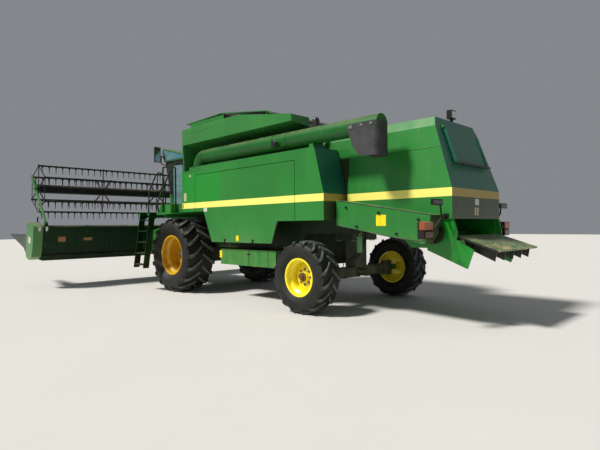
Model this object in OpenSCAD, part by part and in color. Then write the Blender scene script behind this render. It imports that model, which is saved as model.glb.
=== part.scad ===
// Self-propelled combine harvester with a raised cutting platform and tined reel.
// Millimetres. +X is forward, +Y is the machine's left, +Z is up, and the wheels stand on z = 0.
// Inside the modules x = 0 is the front axle; the last step moves the middle of the machine to the origin.

/* [Wheels] */
// Distance between the axles
wheelbase = 3900; // [3600:10:4300]
// Front tyre radius out to the lug tips
front_tyre_r = 785; // [760:5:800]
// Front tyre width
front_tyre_w = 700; // [600:10:720]
// Front rim radius
front_rim_r = 412; // [380:2:440]
// Rear tyre radius out to the lug tips
rear_tyre_r = 575; // [540:5:590]
// Rear tyre width
rear_tyre_w = 440; // [360:10:460]
// Rear rim radius
rear_rim_r = 292; // [270:2:310]
// Width over the tyres
track_w = 3000; // [2980:10:3080]
// Height of the front lugs
front_lug_h = 46; // [30:1:50]
// Height of the rear lugs
rear_lug_h = 34; // [24:1:40]
// Lugs on each side of a front tyre
front_lugs = 18; // [16:1:22]
// Lugs on each side of a rear tyre
rear_lugs = 16; // [14:1:20]

// Radius of the towing pin's holes
tow_r = 16.5; // [12:0.5:20]

/* [Body] */
// Half width of the threshing body
body_y = 700; // [660:5:720]
// Outer face of the side panels, from the middle
panel_y = 1270; // [1240:5:1300]
// Thickness of a side panel or side door
panel_t = 35; // [25:1:45]
// Top of the side panels
panel_top = 2630; // [2600:5:2650]
// Bottom of the side panels behind the doors
panel_low = 1470; // [1440:5:1500]
// Bottom of the side doors
skirt_z = 1085; // [1060:5:1120]
// Top of the side doors
door_top = 2455; // [2420:5:2480]
// Gap round a door or a hatch
door_gap = 10; // [8:1:12]

/* [Rear hood] */
// Half width of the rear hood at its foot
hood_y = 770; // [750:5:790]
// Height of the rear hood's roof
hood_top = 2920; // [2880:5:2960]
// Rear end of the hood, behind the front axle
hood_rear = 6141; // [6100:5:6200]
// Wall of the hood
hood_t = 35; // [25:1:45]

/* [Grain tank] */
// Half width of the grain tank
tank_y = 1235; // [1215:5:1250]
// Height of the tank's rim
tank_top = 3460; // [3440:5:3500]
// Wall of the tank
tank_t = 30; // [20:1:40]

/* [Unloading auger] */
// Radius of the unloading tube
tube_r = 137; // [125:1:145]
// Height of the unloading tube's axis
tube_z = 2836; // [2820:2:2850]
// Distance of the tube's axis from the middle of the machine
tube_y = 1143; // [1135:1:1160]

/* [Cab] */
// Half width of the cab
cab_y = 850; // [820:5:880]
// Wall of the cab
cab_t = 40; // [30:1:50]

/* [Header] */
// Width between the end sheets
cut_w = 6400; // [6000:20:6500]
// Angle the header is raised by
lift_rest = 15; // [14:0.5:16]
// Height of the header's back wall
wall_h = 800; // [760:5:820]
// Radius of the header auger over its flights
flight_r = 285; // [260:5:290]
// Radius of the reel to its tine bars
reel_r = 550; // [520:5:560]
// Angle of the reel arms above the header
arm_rest = 33; // [30:0.5:34]
// Length of a reel tine
tine_l = 150; // [120:5:160]
// Distance between tines
tine_pitch = 150; // [140:10:240]

/* [Hidden] */
$fn = 48;

green = [0.10, 0.36, 0.11];
dark_green = [0.05, 0.20, 0.07];
yellow = [0.95, 0.75, 0.08];
black = [0.06, 0.06, 0.06];
steel = [0.55, 0.55, 0.55];
glass_colour = [0.55, 0.68, 0.66, 0.4];

seat = 0.3;           // gap where one piece rests on another
run = 0.05;           // radial clearance of a pin in its eye
bead = 0.36;          // half width of a rim between its lips, as a share of the tyre's width
lip_h = 14;
lip_t = 12;
x_rear_axle = -wheelbase;
front_wheel_y = track_w / 2 - front_tyre_w / 2;
rear_wheel_y = track_w / 2 - rear_tyre_w / 2;

feeder_y = 620;        // half width of the feeder house

// Header pivot and the places that ride on it, as they are with the header level on the ground
pivot = [450, 1350];
wall_x = 2450;
wall_t = 40;
floor_z = 100;
end_y = cut_w / 2;
auger_x = wall_x + wall_t + flight_r + 25;
auger_z = floor_z + 30 + flight_r;
knife_x = auger_x + 370;
arm_pivot = [wall_x + 20, floor_z + wall_h + 60];
arm_len = 1120;
arm_tip = 430;         // how far a reel arm reaches past the reel
reel_end = end_y - 90;
divider_tip = 4720;

// A point of the level header, [x, z], as it is with the header raised by a
function raised(p, a = lift_rest) = [
    pivot[0] + (p[0] - pivot[0]) * cos(a) - (p[1] - pivot[1]) * sin(a),
    pivot[1] + (p[0] - pivot[0]) * sin(a) + (p[1] - pivot[1]) * cos(a)
];
reel_c = arm_pivot + arm_len * [cos(arm_rest), sin(arm_rest)];

// Ends of the machine, and the middle between them
x_front = raised([divider_tip, floor_z])[0];
spreader_len = 600;
spreader_hinge = [-(hood_rear + 10), 1225];
spreader_drop = 18;
x_back = spreader_hinge[0] - spreader_len * cos(spreader_drop) - 8;
origin_x = (x_front + x_back) / 2;

// Flat outline in the XZ plane, from y0 to y1
module side_plate(points, y0, y1) {
    translate([0, y1, 0]) rotate([90, 0, 0]) linear_extrude(height = y1 - y0) polygon(points);
}

// Section in the YZ plane, from x0 to x1
module section(points, x0, x1) {
    translate([x0, 0, 0]) rotate([90, 0, 90]) linear_extrude(height = x1 - x0) polygon(points);
}

module box(low, high) {
    translate(low) cube(high - low);
}

// Round bar from p to q
module rod(p, q, r) {
    d = q - p;
    l = norm(d);
    translate(p) rotate([0, acos(d[2] / l), atan2(d[1], d[0])]) cylinder(h = l, r = r);
}

// Round bar through a list of points, with a ball at each bend
module rail(points, r) {
    for (i = [1 : len(points) - 1]) {
        rod(points[i - 1], points[i], r);
        if (i < len(points) - 1) translate(points[i]) sphere(r = r + 1.5);
    }
}

// Cylinder along Y
module across(x, z, y0, y1, r) {
    translate([x, y0, z]) rotate([-90, 0, 0]) cylinder(h = y1 - y0, r = r);
}

module both_sides() {
    children();
    mirror([0, 1, 0]) children();
}

module raise_header() {
    translate([pivot[0], 0, pivot[1]]) rotate([0, -lift_rest, 0])
        translate([-pivot[0], 0, -pivot[1]]) children();
}

// Mirrored copy of half a section, as a closed outline
function both(half) = concat(half, [for (i = [len(half) - 1 : -1 : 0]) [-half[i][0], half[i][1]]]);

// Tyre about Z as one skin of triangles. A row of the table is a ring of the section, from the middle to the
// bead: [across, radius on a lug, radius between lugs, setback along the tread as a share of the pitch].
// The two rows of lugs stand half a pitch apart
module tyre(r, w, rim_r, lug_h, lugs) {
    carcass_r = r - lug_h;
    side_r = (r + rim_r) / 2;
    pitch = 360 / lugs;
    lug_share = 0.3;
    bore_r = rim_r / cos(pitch * lug_share / 2);
    half = [
        [w * 0.05, r, carcass_r, 0],
        [w * 0.35, r - lug_h * 0.12, carcass_r - lug_h * 0.15, 0.60],
        [w * 0.47, r - lug_h * 0.85, carcass_r - lug_h * 0.95, 0.80],
        [w * 0.50, side_r, side_r, 0.80],
        [w * bead, bore_r, bore_r, 0.80]
    ];
    n = len(half);
    middle = [0, carcass_r, carcass_r, 0];
    rings = [for (m = [-n : n]) let (q = m == 0 ? middle : half[abs(m) - 1])
        [sign(m) * q[0], m > 0 ? q[1] : q[2], m > 0 ? q[2] : q[1], q[3]]];
    // Stations round one pitch: two on the right row's lug, then two on the left row's
    stations = [0, lug_share, 0.5, 0.5 + lug_share];
    points = [for (q = rings, i = [0 : lugs - 1], k = [0 : 3])
        let (radius = k < 2 ? q[1] : q[2], a = 90 + (i + stations[k] - q[3]) * pitch)
            [radius * cos(a), radius * sin(a), q[0]]];
    around = 4 * lugs;
    rows = len(rings);
    faces = [for (m = [0 : rows - 1], i = [0 : around - 1]) let (
        near = m * around,
        far = (m + 1) % rows * around,
        next = (i + 1) % around)
            each [[near + i, far + i, near + next], [near + next, far + i, far + next]]];
    polyhedron(points = points, faces = faces, convexity = 8);
}

// How far a tyre's side wall leans out for each millimetre of radius
function wall_lean(r, w, rim_r) = w * (0.5 - bead) / ((r - rim_r) / 2);

// Rim about Z: barrel with two lips, a dished disc set back from the outer lip, and a hub
module rim(r, w, lean, disc_z, hub_r, hub_low) {
    t = 16;
    well = 40;
    dish = 45;
    disc_t = 14;
    lip = w * bead + 1;
    lip_out = lip + lip_h * lean;
    barrel_r = r - well - t;
    half = [
        [r - t, lip + lip_t], [r + lip_h, lip_out + lip_t], [r + lip_h, lip_out], [r - seat, lip],
        [r - seat, lip * 0.66], [r - well, lip * 0.52], [r - well, 0], [barrel_r, 0],
        [barrel_r, lip * 0.52 - 6], [r - t, lip * 0.66 + 6]
    ];
    for (s = [0, 1]) mirror([0, 0, s]) rotate_extrude($fn = 96) polygon(half);
    translate([0, 0, disc_z]) rotate_extrude($fn = 96) polygon([
        [0, dish - disc_t], [0, dish], [hub_r + 75, dish], [barrel_r + 1, 0],
        [barrel_r + 1, -disc_t], [hub_r + 70, dish - disc_t]
    ]);
    translate([0, 0, disc_z - hub_low]) cylinder(h = hub_low + dish + 50, r = hub_r);
}

// Puts a wheel made about Z, outer side up, on the left or right end of an axle
module wheel_at(x, y, z, side) {
    mirror([0, side < 0 ? 1 : 0, 0]) translate([x, y, z]) rotate([-90, 0, 0]) children();
}

front_disc = -70;      // front disc, outboard of the tyre's middle
rear_disc = -20;       // rear disc, outboard of the tyre's middle
front_hub_low = 90;
rear_hub_low = 60;
front_axle_end = front_wheel_y + front_disc - front_hub_low - seat;
rear_spindle_end = rear_wheel_y + rear_disc - rear_hub_low - seat;

module front_tyre(side) {
    color(black) wheel_at(0, front_wheel_y, front_tyre_r, side)
        tyre(front_tyre_r, front_tyre_w, front_rim_r, front_lug_h, front_lugs);
}

module front_rim(side) {
    lean = wall_lean(front_tyre_r, front_tyre_w, front_rim_r);
    color(yellow) wheel_at(0, front_wheel_y, front_tyre_r, side)
        rim(front_rim_r, front_tyre_w, lean, front_disc, 120, front_hub_low);
}

module rear_tyre(side) {
    color(black) wheel_at(x_rear_axle, rear_wheel_y, rear_tyre_r, side)
        tyre(rear_tyre_r, rear_tyre_w, rear_rim_r, rear_lug_h, rear_lugs);
}

module rear_rim(side) {
    lean = wall_lean(rear_tyre_r, rear_tyre_w, rear_rim_r);
    color(yellow) wheel_at(x_rear_axle, rear_wheel_y, rear_tyre_r, side)
        rim(rear_rim_r, rear_tyre_w, lean, rear_disc, 85, rear_hub_low);
}

// Threshing body with the cleaning shoe below it
shoe_low = 640;
body_low = 950;
rear_low = 1250;
body_rear = -4345;
platform_z = 1700;
body_top = 2480;

// Cheeks that carry the stub shafts of the feeder house
cheek_y = feeder_y + 20;
stub_r = 60;

module separator_body() {
    color(dark_green) {
        both_sides() difference() {
            side_plate([[110, 1160], [110, 1520], [580, 1520], [600, 1380], [520, 1240], [330, 1160]],
                cheek_y, body_y);
            across(pivot[0], pivot[1], cheek_y - 5, body_y + 5, stub_r + run);
        }
        side_plate([
            [120, body_low], [120, platform_z - 35], [-180, platform_z - 35], [-180, body_top],
            [body_rear, body_top], [body_rear, rear_low], [-3300, rear_low], [-3150, shoe_low],
            [-1450, shoe_low], [-1300, body_low]
        ], -body_y, body_y);
        box([-3040, -1150, shoe_low + 10], [-1420, 1150, body_low]);
    }
}

// Front axle tube, final drives and the brackets of the lift cylinders
cyl_base = [250, 620];
cyl_y = 430;

module front_axle() {
    color(dark_green) {
        across(0, front_tyre_r, -front_axle_end, front_axle_end, 105);
        both_sides() {
            across(0, front_tyre_r, body_y - 60, body_y + 170, 160);
            box([-210, 480, 600], [210, body_y, body_low]);
            difference() {
                side_plate([[-120, 560], [300, 560], [300, 690], [120, 760], [-120, 760]], cyl_y + 50,
                    cyl_y + 80);
                across(cyl_base[0], cyl_base[1], cyl_y + 40, cyl_y + 90, 25 + run);
            }
        }
        box([-120, -body_y, 600], [-40, body_y, body_low]);
    }
}

// Side panels that stay: front piece, band above the door, rear piece, ledge and closing wall
panel_front = -200;
panel_rear = -4280;
notch_x = -490;        // the panels are lower in front of the unloading elbow
notch_z = 2560;
door_front = -700;
door_rear = -3640;

// Pins at the upper corners of a side door, which turn in the fixed panels
pin_r = 5;
pin_in = 8;            // from a door's outer face and edge to its hinge axis
pin_l = 22;

module door_pins(r, extra) {
    for (x = [door_front - 5, door_rear - door_gap - pin_l + 5])
        translate([x - extra, panel_y - pin_in, door_top - pin_in]) rotate([0, 90, 0])
            cylinder(h = door_gap + pin_l + 2 * extra, r = r);
}

// Rest under the rear of the unloading tube, on the left panel only
saddle_x = -3960;

module saddle() {
    box([saddle_x - 45, elbow_y - 158, panel_top - 1],
        [saddle_x + 45, elbow_y - tube_r - 6, panel_top + 160]);
    box([saddle_x - 45, elbow_y - 158, panel_top - 1],
        [saddle_x + 45, elbow_y + 80, tube_z - tube_r - seat]);
}

module side_panels() {
    inner = panel_y - panel_t;
    color(green) saddle();
    color(green) both_sides() {
        difference() {
            side_plate([[panel_front, platform_z], [panel_front, notch_z], [notch_x, notch_z],
                [notch_x, panel_top], [-4084, panel_top], [panel_rear, 1890],
                [panel_rear, panel_low], [door_rear - door_gap, panel_low],
                    [door_rear - door_gap, door_top + door_gap],
                [door_front + door_gap, door_top + door_gap], [door_front + door_gap, platform_z]], inner,
                    panel_y);
            door_pins(pin_r + run, 1);
        }
        side_plate([[panel_front, notch_z - 30], [panel_front, notch_z], [notch_x, notch_z],
            [notch_x, panel_top], [-4084, panel_top], [-4092, panel_top - 30],
            [notch_x - 30, panel_top - 30], [notch_x - 30, notch_z - 30]], body_y, inner + 1);
        // rear closing wall between the panel and the body
        side_plate([[panel_rear, panel_low], [panel_rear, 1890], [-4092, panel_top - 30],
            [-4057, panel_top - 30],
            [panel_rear + 35, 1890], [panel_rear + 35, panel_low]], body_y, inner + 1);
        // front closing wall
        box([panel_front - 35, body_y, platform_z], [panel_front, inner + 1, notch_z - 29]);
        // belt guard beside the hood
        side_plate([[-4345, 1780], [-5980, 1520], [-5970, 1260], [-5880, 1130], [-4345, 1390]], hood_y,
            1050);
    }
}

// Hinged side door with its skirt
module side_door(side) {
    mirror([0, side < 0 ? 1 : 0, 0]) color(green) {
        side_plate([
            [door_front, door_top], [door_rear, door_top], [door_rear, panel_low], [-3208, panel_low],
            [-3063, skirt_z], [-1287, skirt_z], [-1007, platform_z], [door_front, platform_z]
        ], panel_y - panel_t, panel_y);
        door_pins(pin_r, 0);
    }
}

// Rear hood: a section that narrows towards its roof, trimmed by the side outline, open below
hood_front = body_rear;
hood_slope_z = 1888;
hood_top_rear = -5797;
hatch_low = 2240;
hatch_high = 2800;
hatch_y0 = -540;
hatch_y1 = 470;

module hood_form(t) {
    intersection() {
        section(both([[hood_y - t, 1464 - (t > 0 ? 10 : 0)], [hood_y - t, 1890], [665 - t, 2780 - t * 0.3],
            [590 - t * 0.8, hood_top - t]]), -hood_rear - 10, hood_front + (t > 0 ? 10 : 0));
        side_plate([[hood_front + 5 * sign(t), 1464 - (t > 0 ? 10 : 0)],
            [hood_front + 5 * sign(t), hood_top - t],
            [hood_top_rear + t, hood_top - t], [-hood_rear + t, hood_slope_z],
                [-hood_rear + t, 1464 - (t > 0 ? 10 : 0)]],
            -hood_y, hood_y);
    }
}

// x of the hood's sloping rear face at height z
hood_lean = (hood_rear + hood_top_rear) / (hood_top - hood_slope_z);
function hood_face(z) = -hood_rear + (z - hood_slope_z) * hood_lean;

// Hatch on the hood's sloping face, hinged along its upper edge between two ears
hatch_t = 28;
hatch_off = 10;
hatch_pin_z = hatch_high - 10;
hatch_pin_x = hood_face(hatch_pin_z) - hatch_off - hatch_t / 2;
ear_t = 12;
ear_gap = 4;

module rear_hood() {
    color(green) for (y = [hatch_y0 - ear_gap - ear_t, hatch_y1 + ear_gap]) difference() {
        side_plate([[hood_face(hatch_pin_z - 30) + 5, hatch_pin_z - 30],
            [hood_face(hatch_pin_z + 30) + 5, hatch_pin_z + 30],
            [hatch_pin_x - 14, hatch_pin_z + 14], [hatch_pin_x - 14, hatch_pin_z - 14]], y, y + ear_t);
        across(hatch_pin_x, hatch_pin_z, y - 5, y + ear_t + 5, pin_r + run);
    }
    color(green) difference() {
        hood_form(0);
        hood_form(hood_t);
        side_plate([[hood_face(hatch_low + 60) - 100, hatch_low + 60],
            [hood_face(hatch_high - 60) - 100, hatch_high - 60],
            [hood_face(hatch_high - 60) + 150, hatch_high - 60],
                [hood_face(hatch_low + 60) + 150, hatch_low + 60]],
            hatch_y0 + 60, hatch_y1 - 60);
    }
}

module rear_hatch() {
    outer = hatch_off + hatch_t;
    color(green) {
        side_plate([[hood_face(hatch_low) - hatch_off, hatch_low],
            [hood_face(hatch_high) - hatch_off, hatch_high],
            [hood_face(hatch_high) - outer, hatch_high], [hood_face(hatch_low) - outer, hatch_low]],
            hatch_y0, hatch_y1);
        across(hatch_pin_x, hatch_pin_z, hatch_y0 - ear_gap - ear_t, hatch_y1 + ear_gap + ear_t, pin_r);
        // raised strips along both edges and the ledge to lift it by
        for (y = [hatch_y0, hatch_y1 - 22])
            side_plate([[hood_face(hatch_low) - outer + 1, hatch_low],
                [hood_face(hatch_high - 60) - outer + 1, hatch_high - 60],
                [hood_face(hatch_high - 60) - outer - 16, hatch_high - 60],
                    [hood_face(hatch_low) - outer - 16, hatch_low]],
                y, y + 22);
        side_plate([[hood_face(hatch_low) - hatch_off, hatch_low],
            [hood_face(hatch_low) - outer - 50, hatch_low - 4],
            [hood_face(hatch_low) - outer - 50, hatch_low + 16],
                [hood_face(hatch_low) - outer + 1, hatch_low + 24]],
            hatch_y0, hatch_y1);
    }
}

// Straw chopper below the hood: drum housing and the two side plates
chop_low = 1060;
chop_front = -5300;
chop_rear = -6100;

board_pin_r = 12;

module chopper() {
    color(dark_green) {
        difference() {
            side_plate([[chop_front, 1464], [chop_rear, 1464], [chop_rear, 1250], [chop_rear + 150, chop_low],
                [chop_front - 180, chop_low], [chop_front, 1220]], -720, 720);
            side_plate([[chop_front - 40, 1500], [chop_rear - 40, 1500], [chop_rear - 40, 1230],
                [chop_rear + 170, chop_low + 40], [chop_front - 200, chop_low + 40],
                [chop_front - 40, 1235]], -690, 690);
        }
        across(-5600, 1210, -700, 700, 70);
        both_sides() difference() {
            side_plate([[-5750, 1030], [-6330, 800], [-6420, 1050], [-6185, 1180], [-6190, 1300],
                [-6140, 1464],
                [-5760, 1464]], 715, 745);
            across(spreader_hinge[0], spreader_hinge[1], 710, 750, board_pin_r + run);
        }
    }
}

// Spreader board hinged below the hood, with guide fins under it
module spreader_board() {
    color(dark_green) translate([spreader_hinge[0], 0, spreader_hinge[1]]) rotate([0, -spreader_drop, 0]) {
        box([-spreader_len, -700, -12], [0, 700, 12]);
        across(0, 0, -743, 743, board_pin_r);
        for (i = [-2 : 2]) side_plate([[-spreader_len + 60, -12], [-60, -12], [-150, -120],
            [-spreader_len + 40, -160]],
            i * 290 - 4, i * 290 + 4);
    }
}

// Grain tank: section with a funnel below the wide upper box, open at the top
tank_front = -160;
tank_rear = -3540;
tank_low = 3134;       // lower edge of the wide part
flap_z = 3085;         // inner end of the wide part's underside

module tank_form(t) {
    rise = t > 0 ? 50 : 0;
    intersection() {
        section(both([[body_y - t, body_top + t], [body_y - t, flap_z + t * 0.8],
            [tank_y - t, tank_low + t * 0.8],
            [tank_y - t, tank_top + rise]]), tank_rear + t, tank_front - t);
        side_plate([[tank_front, body_top + t], [tank_front, tank_top + rise], [-2172, tank_top + rise],
            [tank_rear, 3249 + rise], [tank_rear, body_top + t]], -tank_y, tank_y);
    }
}

module tank_shell() {
    color(green) difference() {
        union() {
            tank_form(0);
            both_sides() section([[body_y - 1, notch_z + seat], [1205, notch_z + seat], [1215, 2830],
                [tank_y - 1, 3040], [tank_y - 1, tank_low + 20], [body_y - 1, tank_low + 20]],
                tank_front - tank_t, tank_front);
        }
        tank_form(tank_t);
        box([tank_rear - 5, -800, 3030], [tank_rear + tank_t + 5, 800, 3500]);
    }
}

// Raised cover over the front of the tank on its coaming
lid_y = 1040;

module tank_cover() {
    color(green) both_sides() side_plate([[tank_front - tank_t, 3380], [tank_front - tank_t, 3630],
        [-1400, 3630],
        [-1400, 3380]], lid_y - 20, lid_y);
    color(black) side_plate([[tank_front + 130, 3634], [tank_front + 130, 3648], [-1330, 3674],
        [-2700, 3482],
        [-2830, 3412], [-2830, 3396], [-2700, 3466], [-1330, 3658]], -lid_y - 10, lid_y + 10);
    color(green) for (x = [-2000, -2700]) {
        across(x, 3250, -tank_y + tank_t, tank_y - tank_t, 20);
        both_sides() rod([x, lid_y - 15, 3250], [x, lid_y - 15, x > -2400 ? 3566 : 3472], 14);
    }
}

// Vertical outlet at the tank's front left, and the tube that swings on it
elbow_x = -680;
elbow_y = tube_y - 20;
bend_r = 190;
flange_h = 10;
bend_z = tube_z - bend_r;
tube_end = -5270;
tube_rings = [-900, -3060, -3400];
knob_x = -3200;        // round stop on the tube's outer side

module auger_elbow() {
    color(green) {
        translate([elbow_x, elbow_y, panel_top]) cylinder(h = flange_h, r = tube_r + 25);
        translate([elbow_x, elbow_y, 1960]) cylinder(h = panel_top - 30 - 1960, r = 108);
        translate([elbow_x, body_y, 2070]) rotate([-90, 0, 0]) cylinder(h = elbow_y - body_y, r = 100);
    }
}

module auger_tube() {
    color(green) {
        translate([elbow_x, elbow_y, panel_top + flange_h + seat]) cylinder(h = flange_h, r = tube_r + 25);
        translate([elbow_x, elbow_y, panel_top + flange_h + seat])
            cylinder(h = bend_z - panel_top - flange_h, r = tube_r);
        translate([elbow_x - bend_r, elbow_y, bend_z]) rotate([90, 0, 0])
            rotate_extrude(angle = 90) translate([bend_r, 0]) circle(r = tube_r);
        translate([elbow_x - bend_r + 1, elbow_y, tube_z]) rotate([0, -90, 0])
            cylinder(h = elbow_x - bend_r - tube_end + 1, r = tube_r);
        for (x = tube_rings) translate([x, elbow_y, tube_z]) rotate([0, -90, 0]) cylinder(h = 14,
            r = tube_r + 5);
        across(knob_x, tube_z - 60, elbow_y + tube_r - 40, elbow_y + tube_r + 45, 62);
    }
}

// Rubber chute under the tube's end: a flat front, rounded behind, trimmed by its side outline
chute_t = 12;
chute_y = tube_r + 18;
chute_back = tube_end - 32;
chute_round = 95;
chute_front = -4760;

module chute_form(t) {
    w = chute_y - t;
    r = chute_round - t;
    x = chute_back + t;
    intersection() {
        translate([0, elbow_y, 2300]) linear_extrude(height = 600) union() {
            translate([x + r, -w]) square([chute_front - x - r + 200, 2 * w]);
            translate([x, -w + r]) square([r + 1, 2 * (w - r)]);
            for (side = [-1, 1]) translate([x + r, side * (w - r)]) circle(r = r);
        }
        side_plate([[chute_front - t, 2862 + 40 * sign(t)], [chute_front - t, 2800], [-4868 - t, 2520],
            [-4945 - t, 2425], [-5010 - t * 0.5, 2385 - 40 * sign(t)],
                [chute_back - 1, 2368 - 40 * sign(t)],
            [chute_back - 1, 2862 + 40 * sign(t)]], elbow_y - chute_y - 1, elbow_y + chute_y + 1);
    }
}

module auger_spout() {
    color(black) difference() {
        chute_form(0);
        chute_form(chute_t);
        translate([tube_end - 1, elbow_y, tube_z]) rotate([0, 90, 0]) cylinder(h = 700, r = tube_r);
    }
}

// Cab: hollow shell with window openings, and a roof that overhangs
cab_rear = -50;
cab_front_low = 1000;
cab_front_mid = 1070;
cab_front_top = 1235;
cab_mid_z = 2300;
cab_top = 2955;
cab_door_x0 = 420;
cab_door_x1 = 960;
cab_door_z0 = platform_z + 70;
cab_door_z1 = 2900;
cab_frame = 42;        // width of the door's frame and of the window posts
side_glass_x0 = cab_rear + cab_t + cab_frame;
side_glass_x1 = cab_door_x0 - 64;
side_glass_z0 = 2180;
side_glass_x2 = 1010;  // front end of the windows on the right
roof_y = cab_y + 35;

// Pins above and below the rear edge of the cab door
module cab_door_pins(r, extra) {
    for (z = [cab_door_z0 - door_gap - pin_l + 5, cab_door_z1 - 5])
        translate([cab_door_x0 + pin_in, cab_y - pin_in,
            z - extra]) cylinder(h = door_gap + pin_l + 2 * extra, r = r);
}

module cab_shell() {
    screen_z0 = platform_z + 180;
    color(green) {
        difference() {
            side_plate([[cab_rear, platform_z], [cab_rear, cab_top], [cab_front_top, cab_top],
                [cab_front_mid, cab_mid_z], [cab_front_low, platform_z]], -cab_y, cab_y);
            side_plate([[cab_rear + cab_t, platform_z + cab_t], [cab_rear + cab_t, cab_top - cab_t],
                [cab_front_top - cab_t - 10, cab_top - cab_t], [cab_front_mid - cab_t, cab_mid_z],
                [cab_front_low - cab_t, platform_z + cab_t]], -cab_y + cab_t, cab_y - cab_t);
            cab_door_pins(pin_r + run, 1);
            // windscreen
            box([cab_front_low - 60, -cab_y + cab_frame, screen_z0],
                [cab_front_top + 50, cab_y - cab_frame, cab_top - 55]);
            // door opening
            box([cab_door_x0 - door_gap, cab_y - cab_t - 5, cab_door_z0 - door_gap],
                [cab_door_x1 + door_gap, cab_y + 5, cab_door_z1 + door_gap]);
            // left rear window, right side windows and rear window
            box([side_glass_x0, cab_y - cab_t - 5, side_glass_z0], [side_glass_x1, cab_y + 5, cab_door_z1]);
            for (x = [[side_glass_x0, side_glass_x1], [side_glass_x1 + cab_frame, side_glass_x2]])
                box([x[0], -cab_y - 5, side_glass_z0], [x[1], -cab_y + cab_t + 5, cab_door_z1]);
            box([cab_rear - 5, -cab_y + 90, side_glass_z0 + 150],
                [cab_rear + cab_t + 5, cab_y - 90, cab_door_z1]);
        }
        // roof: low at the back, with a visor that rises to the front
        side_plate([[cab_rear, cab_top - 1], [cab_rear, cab_top + 85], [450, cab_top + 130],
            [1290, cab_top + 330],
            [1330, cab_top + 300], [1310, cab_top + 190], [1225, cab_top - 1]], -roof_y, roof_y);
    }
}

module cab_glass() {
    glass_t = 6;
    mid = cab_t / 2 - glass_t / 2;
    color(glass_colour) {
        side_plate([[cab_front_low + 4, platform_z + 180], [cab_front_mid - 22, cab_mid_z],
            [cab_front_top - 42, cab_top - 55],
            [cab_front_top - 42 - glass_t, cab_top - 55], [cab_front_mid - 22 - glass_t, cab_mid_z],
            [cab_front_low + 4 - glass_t, platform_z + 180]], -cab_y + cab_frame, cab_y - cab_frame);
        box([side_glass_x0, cab_y - mid - glass_t, side_glass_z0],
            [side_glass_x1, cab_y - mid, cab_door_z1]);
        for (x = [[side_glass_x0, side_glass_x1], [side_glass_x1 + cab_frame, side_glass_x2]])
            box([x[0], -cab_y + mid, side_glass_z0], [x[1], -cab_y + mid + glass_t, cab_door_z1]);
        box([cab_rear + mid, -cab_y + 90, side_glass_z0 + 150],
            [cab_rear + mid + glass_t, cab_y - 90, cab_door_z1]);
    }
}

module cab_door() {
    color(green) cab_door_pins(pin_r, 0);
    color(green) difference() {
        box([cab_door_x0, cab_y - cab_t, cab_door_z0], [cab_door_x1, cab_y, cab_door_z1]);
        box([cab_door_x0 + cab_frame, cab_y - cab_t - 5, cab_door_z0 + 150],
            [cab_door_x1 - cab_frame, cab_y + 5, cab_door_z1 - cab_frame]);
    }
    // handle
    color(black) rail([[cab_door_x1 - 22, cab_y - 1, cab_door_z0 + 330],
        [cab_door_x1 - 22, cab_y + 32, cab_door_z0 + 330],
        [cab_door_x1 - 22, cab_y + 32, cab_door_z0 + 480],
            [cab_door_x1 - 22, cab_y - 1, cab_door_z0 + 480]], 7);
}

module cab_door_glass() {
    color(glass_colour) box([cab_door_x0 + cab_frame, cab_y - 23, cab_door_z0 + 150],
        [cab_door_x1 - cab_frame, cab_y - 17, cab_door_z1 - cab_frame]);
}

// Seat, console and steering wheel
module cab_interior() {
    floor_top = platform_z + cab_t;
    wheel_x = 830;
    wheel_z = floor_top + 640;
    color(black) {
        // seat base and the panel behind the back cushion
        box([210, -170, floor_top], [560, 170, floor_top + 300]);
        box([150, -230, floor_top + 300], [600, 230, floor_top + 330]);
        side_plate([[150, floor_top + 329], [180, floor_top + 329], [110, floor_top + 900],
            [80, floor_top + 900]], -210, 210);
        // console beside the seat
        box([250, -560, floor_top], [760, -290, floor_top + 560]);
        rod([620, -420, floor_top + 555], [640, -420, floor_top + 700], 12);
        // steering column
        translate([900, 0, floor_top]) cylinder(h = 60, r = 55);
        rod([900, 0, floor_top + 40], [wheel_x, 0, wheel_z], 32);
        translate([wheel_x, 0, wheel_z]) rotate([0, -8, 0]) rotate_extrude() translate([190,
            0]) circle(r = 14, $fn = 16);
        translate([wheel_x, 0, wheel_z]) rotate([0, -8, 0]) for (a = [90, 210, 330])
            rotate([0, 0, a]) rotate([0, 90, 0]) cylinder(h = 185, r = 10);
    }
}

// Seat and back cushions, which the seat's base carries
module cab_seat() {
    floor_top = platform_z + cab_t;
    color(black) {
        box([190, -235, floor_top + 330 + seat], [650, 235, floor_top + 430]);
        side_plate([[182, floor_top + 430 + seat], [290, floor_top + 430 + seat], [235, floor_top + 1010],
            [98, floor_top + 1010]],
            -225, 225);
    }
}

// Deck round the cab with the tool box. It reaches past the tyre, and so does the ladder
deck_y = track_w / 2 + 40;

module platform() {
    color(green) {
        box([-180, -1000, platform_z - 35], [1320, deck_y, platform_z - seat]);
        box([-60, panel_y, platform_z - seat], [410, rail_y - rail_r - 10, platform_z + 170]);
        both_sides() box([130, cheek_y, platform_z - 180], [1250, body_y, platform_z - 35]);
        // outriggers under the wide part of the deck
        for (x = [150, 1180]) box([x, body_y - 1, platform_z - 95], [x + 60, deck_y - 60, platform_z - 34]);
    }
}

// Rails of the deck: grab rail behind the door, arch in front of it and the bow at the rear
rail_y = track_w / 2;
rail_r = 16;

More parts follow.
